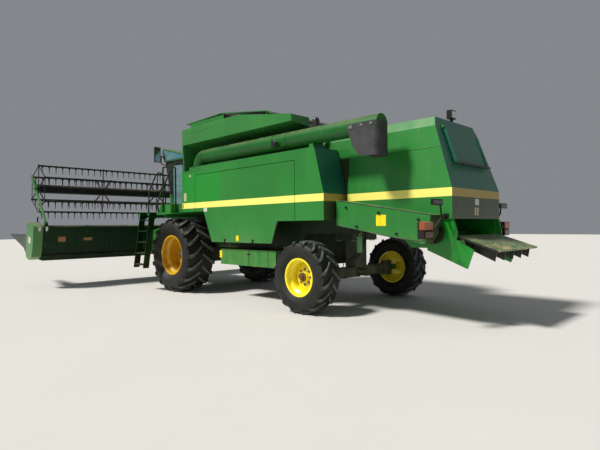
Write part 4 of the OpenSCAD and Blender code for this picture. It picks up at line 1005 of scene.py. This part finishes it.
def dress_tyre(corner, lugs, lug_h, finish):
    """Replaces one plain CAD tyre by a carcass with bars, of the same outside size."""
    low, high = box("tyre_" + corner)
    rim_low, rim_high = box("rim_" + corner)
    centre = (low + high) / 2
    tip_r, width = (high[2] - low[2]) / 2, high[1] - low[1]
    rim_r = (rim_high[2] - rim_low[2]) / 2 - bead_seat
    profile = carcass_profile(rim_r, tip_r - lug_h, width)
    ring = np.vstack([profile, profile[-2::-1] * np.array([1.0, -1.0]), profile[:1]])
    grids = [turned(ring, 96)] + tread_bars(tip_r, lug_h, width, lugs, profile, np.sign(centre[1]))
    grids = [grid + centre for grid in grids]
    piece = skin("tyre_dressed_" + corner, grids, finish, "wheel_" + corner, 32.0)
    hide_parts("tyre_" + corner)


for end, lugs, lug_h in (("front", 18, 0.046), ("rear", 16, 0.034)):
    for corner in ends[end]:
        dress_tyre(corner, lugs, lug_h, "tyre_rubber_" + end)

# %% [markdown]
# Bolts
#
# A hexagon head on a washer is the smallest thing that the eye still reads as a bolt. It is a turned part
# with six sides, a few dozen faces, so that hundreds of them cost little.

# %% Helper: bolt heads
def hex_head(size, height, axis="y"):
    """Hexagon bolt head with a washer under it, standing on the origin along the axis."""
    foot = 0.25 * height
    head = [[0, foot], [size, foot], [size, 0.85 * height], [0.86 * size, height], [0, height]]
    washer = [[0, 0], [1.35 * size, 0], [1.35 * size, foot], [0, foot]]
    return [turned(head, 6, axis), turned(washer, 6, axis)]


def heads(places, size, height, axis="y", sign=1.0):
    """A bolt head with its washer at each place, pointing along sign x axis."""
    point = np.where(np.array(axis_order[axis]) == 1, sign, 1.0)
    return [at(part * point, places) for part in hex_head(size, height, axis)]


print("bolt heads ready")

# %% [markdown]
# Wheel nuts and hub caps
#
# What holds a wheel on is a ring of nuts round a pressed hub cap. The nuts stand on the flat middle of the
# dished disc. They are one mesh a wheel, so that they turn with it.

# %% Wheel nuts and hub caps
stud = turned([[0, 0], [0.009, 0], [0.009, 0.034], [0, 0.036]], 10)


def dress_hub(corner, face, nut_ring, nuts, cap_r, cap_y):
    """Nuts at nut_ring x (cos a, sin a) on the disc, and a stepped cap over the hub's end."""
    centre = middle("tyre_" + corner)
    side = np.sign(centre[1])
    outwards = np.array([1, side, 1])
    ring = circle(nuts) * nut_ring
    places = centre + np.stack([ring[:, 0], np.full(nuts, side * face), ring[:, 1]], axis=-1)
    cap = turned([[0, 0], [cap_r, 0], [cap_r, 0.012], [cap_r * 0.93, 0.018], [cap_r * 0.55, 0.020],
                  [cap_r * 0.50, 0.034], [cap_r * 0.30, 0.040], [0, 0.041]], 40) * outwards
    cap = cap + centre + np.array([0.0, side * cap_y, 0.0])
    nuts_and_studs = heads(places, 0.018, 0.022, "y", side) + [at(stud * outwards, places)]
    skin("wheel_nuts_" + corner, nuts_and_studs, "zinc_steel", "wheel_" + corner)
    skin("hub_cap_" + corner, [cap], "hub_brown", "wheel_" + corner)


for corner in ends["front"]:
    dress_hub(corner, -0.025, 0.158, 10, 0.105, 0.025)
for corner in ends["rear"]:
    dress_hub(corner, 0.025, 0.122, 8, 0.074, 0.075)

# %% [markdown]
# Screws and latches of the side doors
#
# A side door hangs on two pins at its upper corners and is held by rubber latches under its skirt. Flat
# screws hold the stiffeners that are welded inside. They ride on the door, so they open with it.

# %% Side doors
panel_face = float(box("side_panels")[1][1])
door_edge = [[-0.76, 2.40], [-0.76, 2.05], [-0.76, 1.76], [-1.075, 1.655], [-1.345, 1.135], [-2.05, 1.135],
             [-2.60, 1.135], [-2.99, 1.135], [-3.22, 1.44], [-3.59, 1.53], [-3.59, 2.00], [-3.59, 2.40],
             [-2.65, 2.40], [-1.70, 2.40]]
strap_bend = [[0.001, 1.135], [0.016, 1.120], [0.014, 1.092], [-0.010, 1.080]]
latches = []
for x in (-1.72, -2.56):
    strap = softened([spot(x, panel_face + out, z) for out, z in strap_bend], 2)
    keeper = block(spot(x - 0.03, panel_face, 1.125), spot(x + 0.03, panel_face + 0.010, 1.150), 0.003)
    latches += [bar(strap, 0.009), keeper]

for side, door in ((1, "left"), (-1, "right")):
    places = np.array([spot(x, side * panel_face, z) for x, z in door_edge])
    skin("door_screws_" + door, heads(places, 0.0085, 0.006, "y", side), "plain_green", door + "_side_door")
    own = latches if side > 0 else [mirrored(grid) for grid in latches]
    skin("door_latches_" + door, own, "black_paint", door + "_side_door")

# %% [markdown]
# Rivets, knobs and edging
#
# Large sheets are never bare. The panels and the hood are riveted to the frame behind them, and the belt
# guard is held by knobs and has a folded edge. All of it is thin, but its shadows give the scale.

# %% Panels, hood and belt guard
hood_side, guard_face = 0.77, 1.05
rivet = turned([[0, 0], [0.0075, 0], [0.0065, 0.003], [0.003, 0.0045], [0, 0.005]], 8)
hood_rivets = np.array([spot(x, hood_side, 1.555) for x in np.arange(-6.05, -4.42, 0.115)])
panel_rivets = np.array([spot(-0.235, panel_face, z) for z in np.arange(1.95, 2.52, 0.11)]
                        + [spot(x, panel_face, 2.585) for x in np.arange(-3.9, -0.6, 0.22)])
skin("rivets", both(at(rivet, hood_rivets), at(rivet, panel_rivets)), "plain_green")

knob = turned([[0, 0], [0.016, 0], [0.016, 0.004], [0.010, 0.006], [0.010, 0.014], [0.019, 0.018],
               [0.018, 0.026], [0.010, 0.030], [0, 0.030]], 14)
knob_places = [[-4.55, 1.66], [-5.15, 1.565], [-5.80, 1.46], [-4.75, 1.37], [-5.45, 1.265]]
knobs = at(knob, [spot(x, guard_face, z) for x, z in knob_places])
skin("guard_knobs", both(knobs), "black_paint")

lip_path = [[-4.36, 1.387], [-5.88, 1.128], [-5.972, 1.262], [-5.982, 1.515]]
lip = bar(softened([spot(x, guard_face + 0.002, z) for x, z in lip_path], 2), 0.007)
top_lip = bar([spot(-4.36, guard_face + 0.001, 1.778), spot(-5.97, guard_face + 0.001, 1.521)], 0.006)
skin("guard_edging", both(lip, top_lip), "frame_shaded_green")

# %% [markdown]
# Seams and the hatch's grip
#
# The hood is two sheets that overlap in a seam under its shoulder, and the lower housing is welded from
# three boxes. A seam is only a few millimetres deep, so a thin bar or strip on the sheet reads as one.
# The rear hatch is lifted by a round bar along its foot, which rides on the hatch.

# %% Hood seam, lower housing and hatch grip
lower_face, seam_z, seam_y = 1.15, 2.472, 0.7065
hood_seam = bar([spot(-4.36, seam_y, seam_z), spot(-5.905, seam_y, seam_z)], 0.003)
skin("hood_seam", both(hood_seam), "plain_green")
weld_low, weld_high = 0.665, 0.96
strips = [block(spot(x - 0.007, lower_face - 0.001, weld_low), spot(x + 0.007, lower_face + 0.002, weld_high),
                0.001) for x in (-2.297, -2.835)]
strips.append(block(spot(-2.335, lower_face, 0.86), spot(-2.255, lower_face + 0.012, 0.885), 0.003))
skin("lower_box_seams", both(*strips), "black_paint")

hatch_low = box("rear_hatch")[0]
grip_x, grip_z = hatch_low[0] + 0.008, hatch_low[2] + 0.012
grip = bar([[grip_x, -0.46, grip_z], [grip_x, 0.39, grip_z]], 0.011, 12)
skin("hatch_grip", [grip], "black_paint", "hatch")

# %% [markdown]
# Films and plates on the body
#
# The machine carries small yellow, white and orange films, and a plate with two bars at its tail. They
# could be masks in the paint. As sheets a millimetre thick they have an edge that catches the light, and
# those on the door ride on it.

# %% Films and plates
def film(x0, x1, z0, z1, y):
    """Thin sheet on a face that looks to the left."""
    return block(spot(x0, y, z0), spot(x1, y + 0.0012, z1), 0.0005)


skin("films_yellow", [film(-5.272, -5.186, 1.375, 1.534, guard_face),
                      film(-5.182, -5.101, 1.375, 1.534, guard_face),
                      film(-1.460, -1.385, 0.775, 0.915, lower_face)], "film_yellow")
skin("film_yellow_door", [film(-2.15, -2.07, 1.115, 1.215, panel_face)], "film_yellow", "left_side_door")
skin("film_pale_door", [film(-1.13, -1.01, 1.69, 1.765, panel_face)], "film_pale", "left_side_door")
skin("films_pale", [film(-0.37, -0.27, 1.93, 2.10, panel_face), film(-0.55, -0.48, 2.43, 2.47, panel_face)],
     "film_cream")
skin("reflector_front", [film(-0.255, -0.212, 1.785, 1.875, panel_face)], "film_orange")

tail_x, bar_width = -6.1425, 0.055
tail_plate = block(spot(tail_x, -0.045, 1.664), spot(tail_x + 0.0015, 0.080, 1.752), 0.0005)
tail_bars = [block(spot(tail_x, y, 1.515), spot(tail_x + 0.0015, y + bar_width, 1.628), 0.0005)
             for y in (-0.03, 0.045)]
skin("tail_plate", [tail_plate], "film_pale")
skin("tail_bars", tail_bars, "film_cream")

# %% [markdown]
# Lamps at the tail
#
# Each tail lamp is a black box with an amber lens over a red one. The amber lens wraps round the outer
# corner, so that it also shows from the side. Above each lamp stands a dark board on the same bracket. The
# work lamp on the hood has one clear glass. The boxes are CAD, so only the lenses are made here.

# %% Lenses and boards
lens_face, lens_inner, lens_edge = -6.0608, 1.158, 0.008
lens_sizes = (("amber", 1.362, 1.316, 1.426, 0.075), ("red", 1.342, 1.208, 1.302, 0.002))
for name, outer, z0, z1, deep in lens_sizes:
    lens = block(spot(lens_face - 0.016, lens_inner, z0), spot(lens_face + deep, outer, z1), lens_edge)
    skin("lenses_" + name, both(lens), "lens_" + name)
work_z = 3.035
work_glass = block(spot(-5.8055, -0.028, work_z - 0.05), spot(-5.7985, 0.088, work_z + 0.05), 0.003)
skin("work_lamp_glass", [work_glass], "lens_clear")
board = block(spot(-6.097, 0.955, 1.652), spot(-6.0945, 1.185, 1.708), 0.001)
skin("marker_boards", both(board), "lens_dark")

# %% [markdown]
# Unloading tube and chute
#
# The tube is bolted to its turntable by a flange, and the rubber chute hangs on the tube's end by three
# clips a side. A round rubber stop keeps the tube off the body. They all ride on the tube, so they swing
# out with it.

# %% Flange bolts, chute clips and stop
tube_y, tube_half, bolt_count, bolt_circle = 1.123, 0.155, 10, 0.150
ring = circle(bolt_count, 0.3) * bolt_circle
flange = np.stack([ring[:, 0], ring[:, 1], np.full(bolt_count, -0.0102)], axis=-1)
skin("flange_bolts", heads(spot(-0.68, tube_y, 2.66) + flange, 0.009, 0.010, "z"), "zinc_steel", "unloader")

clips = [block(spot(x0, tube_y + tube_half, z0), spot(x1, tube_y + tube_half + 0.008, 2.845), 0.003)
         for x0, x1, z0 in ((-4.86, -4.79, 2.795), (-5.05, -5.00, 2.805), (-5.22, -5.17, 2.805))]
clips += [mirrored(grid) + np.array([0, 2 * tube_y, 0]) for grid in clips]
skin("chute_clips", clips, "zinc_steel", "unloader")

stopper = turned([[0, 0], [0.062, 0], [0.066, 0.010], [0.066, 0.020], [0.050, 0.030], [0, 0.032]], 28)
skin("tube_stop", [stopper + spot(-3.20, tube_y + 0.182, 2.776)], "black_paint", "unloader")

# %% [markdown]
# Deck and tool box
#
# A deck that people climb onto in muddy boots is covered in anti-slip strips: rows of small raised
# lozenges. Bump would hide them, because they stand against the light. A lozenge is a turned part with
# four sides, squashed across, and a grid of places makes the strips. The tool box beside the rail gets a
# lid and two catches.

# %% Anti-slip deck and tool box
deck_z = 1.6997
lozenge = turned([[0, 0], [0.014, 0], [0.010, 0.003], [0, 0.0035]], 4, "z") * np.array([1.0, 0.45, 1.0])
gx, gy = np.meshgrid(np.arange(0.48, 1.28, 0.045), np.arange(0.92, 1.50, 0.032), indexing="ij")
strip = np.stack([gx.ravel() + front_axle, gy.ravel(), np.full(gx.size, deck_z)], axis=-1)
skin("deck_grip", [at(lozenge, strip)], "frame_shaded_green")
skin("tool_box_lid", [block(spot(-0.066, 1.274, 1.868), spot(0.416, 1.476, 1.878), 0.004)], "plain_green")
catches = [block(spot(x, 1.4765, 1.83), spot(x + 0.035, 1.486, 1.885), 0.003) for x in (0.03, 0.29)]
skin("tool_box_catches", catches, "zinc_steel")

# %% [markdown]
# Cab seals and wiper
#
# A pane sits in a rubber seal, a thin dark line that the eye expects round every window. A bevelled bar
# along the pane's outline is enough. It ends where it starts, and overlaps itself there to close the ring.
# The door's seal rides on the door. The wiper is parked across the windscreen.

# %% Cab seals and wiper
seal_y, pane_low, pane_high, pane_corner = 0.838, 2.18, 2.90, 0.04


def seal(x0, x1, z0, z1, y):
    """Rubber frame round a pane in a side of the cab: one bar with cut corners, back to its start."""
    r = pane_corner
    outline = [(x0 + r, z0), (x1 - r, z0), (x1, z0 + r), (x1, z1 - r), (x1 - r, z1), (x0 + r, z1),
               (x0, z1 - r), (x0, z0 + r), (x0 + r, z0), (x0 + 2 * r, z0)]
    return bar([spot(x, y, z) for x, z in outline], 0.009)


side_seals = [seal(x0, x1, pane_low, pane_high, y)
              for x0, x1, y in ((0.032, 0.356, seal_y), (0.032, 0.356, -seal_y), (0.398, 1.010, -seal_y))]
skin("cab_seals", side_seals, "cab_plastic")
skin("door_seal", [seal(0.462, 0.918, 1.92, 2.858, seal_y)], "cab_plastic", "door")
arm = softened([spot(1.252, 0.02, 2.93), spot(1.215, 0.05, 2.80), spot(1.165, 0.16, 2.60),
                spot(1.118, 0.30, 2.42)], 2)
blade = softened([spot(1.210, 0.40, 2.72), spot(1.128, 0.30, 2.42), spot(1.075, 0.22, 2.18)], 1)
skin("wiper", [bar(arm, 0.007), bar(blade, 0.009, 6)], "black_paint")

# %% [markdown]
# Roof panes, mirrors and work lamps
#
# The cab's roof has a teal pane on each side, whose outline follows the visor; its pale teal is partly tint
# and partly a painted reflection of the sky. A mirror stands out on each side of it, and four round work
# lamps sit in its front. A lamp is a turned bowl with a domed glass before it. One list of places carries
# all four, which keeps them alike and in line.

# %% Roof panes, mirrors and lamps
roof_side = 0.885
pane_shape = np.array([[-0.010, 2.978], [-0.010, 3.020], [0.450, 3.062], [1.280, 3.258], [1.300, 3.240],
                       [1.285, 3.150], [1.208, 2.978]])
roof_pane = plate(pane_shape + [front_axle, 0.0], "y", roof_side, roof_side + 0.002)
pane_edge = [spot(x, roof_side + 0.001, z) for x, z in np.vstack([pane_shape, pane_shape[:2]])]
skin("roof_panes", both(roof_pane), "pane_teal")
skin("roof_pane_edges", both(bar(pane_edge, 0.007)), "cab_plastic")
mirror_face = block(spot(1.2685, 0.970, 2.950), spot(1.2715, 1.100, 3.295), 0.0005)
skin("mirror_faces", both(mirror_face), "mirror_silver")

lamp_places = [spot(1.300, y, 3.105) for y in (-0.70, -0.42, 0.42, 0.70)]
bowl = turned([[0, -0.030], [0.050, -0.030], [0.066, -0.010], [0.070, 0.006], [0.064, 0.012], [0, 0.010]],
              24, "x")
pane = turned([[0, 0.009], [0.060, 0.010], [0.052, 0.018], [0, 0.022]], 24, "x")
skin("roof_lamps", [at(bowl, lamp_places)], "black_paint")
skin("roof_lamp_glass", [at(pane, lamp_places)], "lens_clear")

# %% [markdown]
# Seat
#
# The driver's cushions are foam in cloth. A bevelled box would look like a brick, so each starts as a
# rounded block of even faces and is blown up a little by Blender's cloth with pressure: its middle crowns
# and its sides pull in between the corners. How far a point may move is capped, and the result is kept as
# a plain mesh with one subdivision on it.

# %% Helper: foam
pressure, blow_steps = 4.0, 20


def mesh_points(mesh):
    """A mesh's points as an array."""
    flat = np.empty(len(mesh.vertices) * 3)
    mesh.vertices.foreach_get("co", flat)
    return flat.reshape(-1, 3)


def evaluated(piece):
    """The piece's mesh with its modifiers worked out."""
    return bpy.data.meshes.new_from_object(piece.evaluated_get(bpy.context.evaluated_depsgraph_get()))


def foam(name, grids, voxel=0.007, cap=0.012):
    """Block of even faces, blown up by pressure: point = rest + step x min(1, cap / length of step)."""
    piece = skin(name, grids, "seat_cloth", smooth=80.0)
    remesh = piece.modifiers.new("even", "REMESH")
    remesh.mode = "VOXEL"
    remesh.voxel_size = voxel
    even = evaluated(piece)
    piece.modifiers.clear()
    piece.data = even
    before = mesh_points(even)
    blown = piece.modifiers.new("blown", "CLOTH")
    blown.settings.use_pressure = True
    blown.settings.uniform_pressure_force = pressure
    blown.settings.effector_weights.gravity = 0.0
    for step in range(1, blow_steps + 1):
        scene.frame_set(step)
    moved = mesh_points(evaluated(piece)) - before
    length = np.linalg.norm(moved, axis=1, keepdims=True)
    after = before + moved * np.minimum(1.0, cap / np.maximum(length, 1e-9))
    piece.modifiers.clear()
    even.vertices.foreach_set("co", after.ravel())
    scene.frame_set(1)
    even.polygons.foreach_set("use_smooth", np.ones(len(even.polygons), bool))
    even.update()
    rounded = piece.modifiers.new("rounded", "SUBSURF")
    rounded.levels = rounded.render_levels = 1
    return piece


print("foam is blown up in", blow_steps, "steps")

# %% [markdown]
# Two cushions
#
# The base is a flat pad and the backrest leans back, which shears its grid: the lower a point, the
# further forward it moves. Both start a little inside the plain CAD solid that they replace, because
# they swell.

# %% Seat cushions
seat_low, seat_high = box("cab_seat")
base_top, back_thick, lean_back = seat_low[2] + 0.10, 0.115, 0.065
base = block([seat_low[0] + back_thick, -0.215, seat_low[2] + 0.012],
             [seat_high[0] - 0.02, 0.215, base_top - 0.015], 0.02)
back = block([seat_low[0] + 0.012, -0.205, base_top + 0.02],
             [seat_low[0] + back_thick, 0.205, seat_high[2] - 0.02], 0.02)
lean = (seat_high[2] - back[..., 2]) / (seat_high[2] - base_top) * lean_back
leaning_back = back + np.stack([lean, np.zeros_like(lean), np.zeros_like(lean)], axis=-1)
cushions = foam("seat_cushions", [base, leaning_back])
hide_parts("cab_seat")

# %% [markdown]
# Rear axle
#
# Steering is worked by oil. Two steel pipes come down in front of the rear beam, each held by a clip, and
# bend forwards to the steering gear. They are stiff tubes, bent once and never moved, so a bar along a
# softened path gives them without any simulation. Eight bolts hold the beam under the body.

# %% Rear axle pipes and bolts
beam_front, clip_y = rear_axle + 0.085, 0.24
axle_pipes = []
for y, z in ((clip_y, 0.60), (-clip_y, 0.62)):
    route = softened([[beam_front + 0.012, 0.0, 1.10], [beam_front + 0.012, y * 0.5, 0.90],
                      [beam_front + 0.014, y, z + 0.08], [beam_front + 0.04, y, z - 0.01],
                      [beam_front + 0.07, y, 0.515]], 3)
    axle_pipes.append(bar(route, 0.008))
axle_pipes += [block([beam_front, y - 0.015, 0.63], [beam_front + 0.022, y + 0.015, 0.645], 0.002)
               for y in (clip_y, -clip_y)]
skin("axle_pipes", axle_pipes, "black_paint")
bx, by = np.meshgrid([-0.16, 0.16], [-0.31, -0.23, 0.23, 0.31], indexing="ij")
mount_bolts = np.stack([bx.ravel() + rear_axle, by.ravel(), np.full(bx.size, 1.130)], axis=-1)
skin("axle_mount_bolts", heads(mount_bolts, 0.016, 0.018, "z", -1.0), "zinc_steel")

# %% [markdown]
# Behind the rear wheel
#
# Under the hood the belt drive ends in a grooved pulley beside the chopper, and steel oil pipes run in
# bends from the lower housing to the beam. A small pressure bottle is strapped up under the hood's edge.
# They are half hidden, so a turned profile and bent bars say enough.

# %% Pulley, pipes and bottle
pulley = turned([[0, 0], [0.150, 0], [0.150, 0.008], [0.132, 0.016], [0.132, 0.024], [0.150, 0.032],
                 [0.150, 0.044], [0.132, 0.052], [0.132, 0.060], [0.150, 0.068], [0.150, 0.076],
                 [0.120, 0.076], [0.120, 0.050], [0.040, 0.050], [0.040, 0.090], [0, 0.090]], 48)
skin("drive_pulley", [pulley + spot(-5.86, 0.7505, 1.270)], "black_paint")
pipe_paths = [[[-3.60, 0.52, 1.252], [-3.60, 0.56, 1.10], [-3.66, 0.50, 0.90], [-3.74, 0.42, 0.84]],
              [[-4.36, 0.30, 1.30], [-4.33, 0.34, 1.05], [-4.16, 0.38, 0.86], [-4.07, 0.40, 0.80]],
              [[-4.40, 0.36, 1.30], [-4.40, 0.42, 1.00], [-4.22, 0.46, 0.80], [-4.08, 0.48, 0.76]]]
beam_pipes = [bar(softened([spot(*point) for point in path], 4), 0.013, 10) for path in pipe_paths]
skin("beam_pipes", beam_pipes, "black_paint")
bottle = turned([[0, 0], [0.030, 0.002], [0.045, 0.016], [0.045, 0.245], [0.032, 0.270], [0.014, 0.282],
                 [0.014, 0.305], [0, 0.305]], 24, "z")
hanger = block(spot(-4.499, 0.610, 0.99), spot(-4.489, 0.622, 1.34), 0.002)
skin("pressure_bottle", [bottle + spot(-4.494, 0.66, 0.95), hanger], "bottle_green")

# %% [markdown]
# Cutting table
#
# The table is made of folded sheet with ribs on its back. Along its front edge the knife carries a
# triangle of sharpened steel for each finger gap, three inches apart. It is easiest to place all of it on
# the level table. One formula then turns it up about the feeder's pivot, as the lift cylinders do.

# %% Ribs and knife sections
lift_rest, pivot_x, pivot_z = math.radians(15.0), 0.450, 1.350
wall_x, table_end, knife_x, knife_pitch = 2.450, 3.200, 3.170, 0.0762


def lifted(grid):
    """A grid on the level table, x from the front axle, turned up about the feeder's pivot."""
    x, z = grid[..., 0] - pivot_x, grid[..., 2] - pivot_z
    out = np.array(grid, float)
    out[..., 0] = front_axle + pivot_x + x * math.cos(lift_rest) - z * math.sin(lift_rest)
    out[..., 2] = pivot_z + x * math.sin(lift_rest) + z * math.cos(lift_rest)
    return out


def table_skin(name, grids, finish):
    """A piece of the table: its grids turned up, riding on the header."""
    return skin(name, [lifted(grid) for grid in grids], finish, "header")


table_ribs = [block([wall_x - 0.014, y - 0.025, 0.215], [wall_x + 0.001, y + 0.025, 0.868], 0.004)
              for y in (1.05, 1.75, 2.45)]
table_skin("table_ribs", both(*table_ribs), "header_shaded_green")
section_places = np.arange(-41, 42)[:, None] * np.array([[0.0, knife_pitch, 0.0]])
section_shape = plate([[knife_x + 0.015, -0.037], [knife_x + 0.085, -0.010], [knife_x + 0.085, 0.010],
                       [knife_x + 0.015, 0.037]], "z", 0.0735, 0.0765)
table_skin("knife_sections", [at(section_shape, section_places)], "bright_steel")

# %% [markdown]
# Bolts and films of the table
#
# A row of bolts holds the beam on top of the back wall, and flat screws hold the end shields. Two brown
# films are stuck on the wall's back, and pale ones on the left end shield and beside it.

# %% Table bolts, films and screws
wall_bolts = np.array([[wall_x - 0.061, y, 0.885] for y in np.linspace(-3.0, 3.0, 21)])
bolt_grids = [part * np.array([-1.0, 1.0, 1.0]) for part in hex_head(0.009, 0.008, "x")]
table_skin("table_bolts", [at(part, wall_bolts) for part in bolt_grids], "header_shaded_green")
wall_films = [block([wall_x - 0.0012, y, z], [wall_x - 0.0002, y + w, z + h], 0.0004)
              for y, z, w, h in ((2.70, 0.52, 0.16, 0.12), (2.09, 0.54, 0.20, 0.07))]
table_skin("table_films", wall_films, "film_brown")
end_out = table_end + 0.220
end_films = [block([wall_x + 0.08, end_out, 0.46], [wall_x + 0.24, end_out + 0.0012, 0.60], 0.0005)]
end_films += [block([wall_x - 0.0675, y, 0.80], [wall_x - 0.0655, y + 0.05, 0.90], 0.0005)
              for y in (end_out - 0.15, table_end - 0.08)]
table_skin("shield_film", end_films, "film_pale")
screw_square = ((0.0, 0.30), (0.30, 0.30), (0.30, 0.78), (0.0, 0.78))
shield_screws = np.array([[wall_x + x, end_out, z] for x, z in screw_square])
table_skin("shield_screws", both(at(rivet, shield_screws)), "zinc_steel")

# %% [markdown]
# Grain tank and engine screen
#
# The tank's flared walls end in a rolled lip with a folded seam below it, both round bars along the wall.
# The rotary screen in front of the radiator is a fine mesh in a round frame: two sets of thin bars, each
# cut to the circle. A picture with holes would be lighter, but real bars hold up in a close view.

# %% Tank edging and screen
tank_side = float(box("tank_shell")[1][1])
side_seam = bar([spot(-0.17, tank_side + 0.001, 3.372), spot(-1.28, tank_side + 0.001, 3.372)], 0.005, 6)
rim_bar = bar([spot(-0.17, tank_side - 0.012, 3.462), spot(-2.172, tank_side - 0.012, 3.462)], 0.014)
skin("tank_edging", both(side_seam, rim_bar), "tank_green")

screen_at, screen_r, wire_pitch = spot(-3.86, -1.196, 2.765), 0.100, 0.017
screen = []
for w in np.arange(-5, 6) * wire_pitch:
    half = math.sqrt(screen_r ** 2 - w ** 2) + 0.02
    screen.append(bar([screen_at + [w, 0, -half], screen_at + [w, 0, half]], 0.0016, 5))
    screen.append(bar([screen_at + [-half, 0.002, w], screen_at + [half, 0.002, w]], 0.0016, 5))
hoop = circle(40) * (screen_r + 0.012)
hoop_path = screen_at + np.stack([hoop[:, 0], np.zeros(40), hoop[:, 1]], axis=-1)
screen.append(bar(np.vstack([hoop_path, hoop_path[:2]]), 0.010))
skin("screen_mesh", screen, "black_paint")

# %% [markdown]
# Floor
#
# The portrait stands on a plain pale floor, which catches the machine's shadow. It is one large face with
# a faint cloudiness, so that it doesn't look painted. It belongs to the stage and not to the machine.

# %% Floor
floor_half = 60.0
floor = bpy.data.meshes.new("floor")
floor_corners = [(x * floor_half, y * floor_half, 0) for x, y in ((-1, -1), (1, -1), (1, 1), (-1, 1))]
floor.from_pydata(floor_corners, [], [(0, 1, 2, 3)])
floor_object = bpy.data.objects.new("floor", floor)
scene.collection.objects.link(floor_object)
ground = Finish("floor_pale", Roughness=0.9, Specular_IOR_Level=0.1)
clouds = ground.noise(0.6, 3.0)
ground.feed("Base Color", ground.blend(clouds, linear(205, 203, 198), linear(212, 210, 205)))
floor.materials.append(ground.material)
print("floor is", 2 * floor_half, "m wide")

# %% [markdown]
# Light
#
# The light is a soft studio: one broad key from the machine's left front, high up, as the sun stood in the
# picture, and a pale surround that fills the shade. Several lamps could model the form more richly, but
# one keeps a single clear shadow. The levels add up to about one on the upright sheets of the left side,
# so a colour renders there about as it is written.

# %% Surround and key light
world = bpy.data.worlds.new("surround")
world.use_nodes = True
scene.world = world
surround = world.node_tree.nodes["Background"]
surround.inputs["Color"].default_value = (0.86, 0.90, 0.96, 1.0)
surround.inputs["Strength"].default_value = 0.27

key = bpy.data.lights.new("key", "SUN")
key.energy = 4.3
key.angle = math.radians(9.0)
key.color = (1.0, 0.975, 0.93)
to_key = np.array([0.28, 0.58, 0.76])
aim = np.eye(4)
aim[:3, 2] = to_key / np.linalg.norm(to_key)
aim[:3, 0] = np.cross([0.0, 0.0, 1.0], aim[:3, 2])
aim[:3, 0] /= np.linalg.norm(aim[:3, 0])
aim[:3, 1] = np.cross(aim[:3, 2], aim[:3, 0])
key_object = bpy.data.objects.new("key", key)
key_object.matrix_world = Matrix(aim.tolist())
scene.collection.objects.link(key_object)
scene.view_settings.view_transform = "Standard"
print("key light from", aim[:3, 2].round(2))
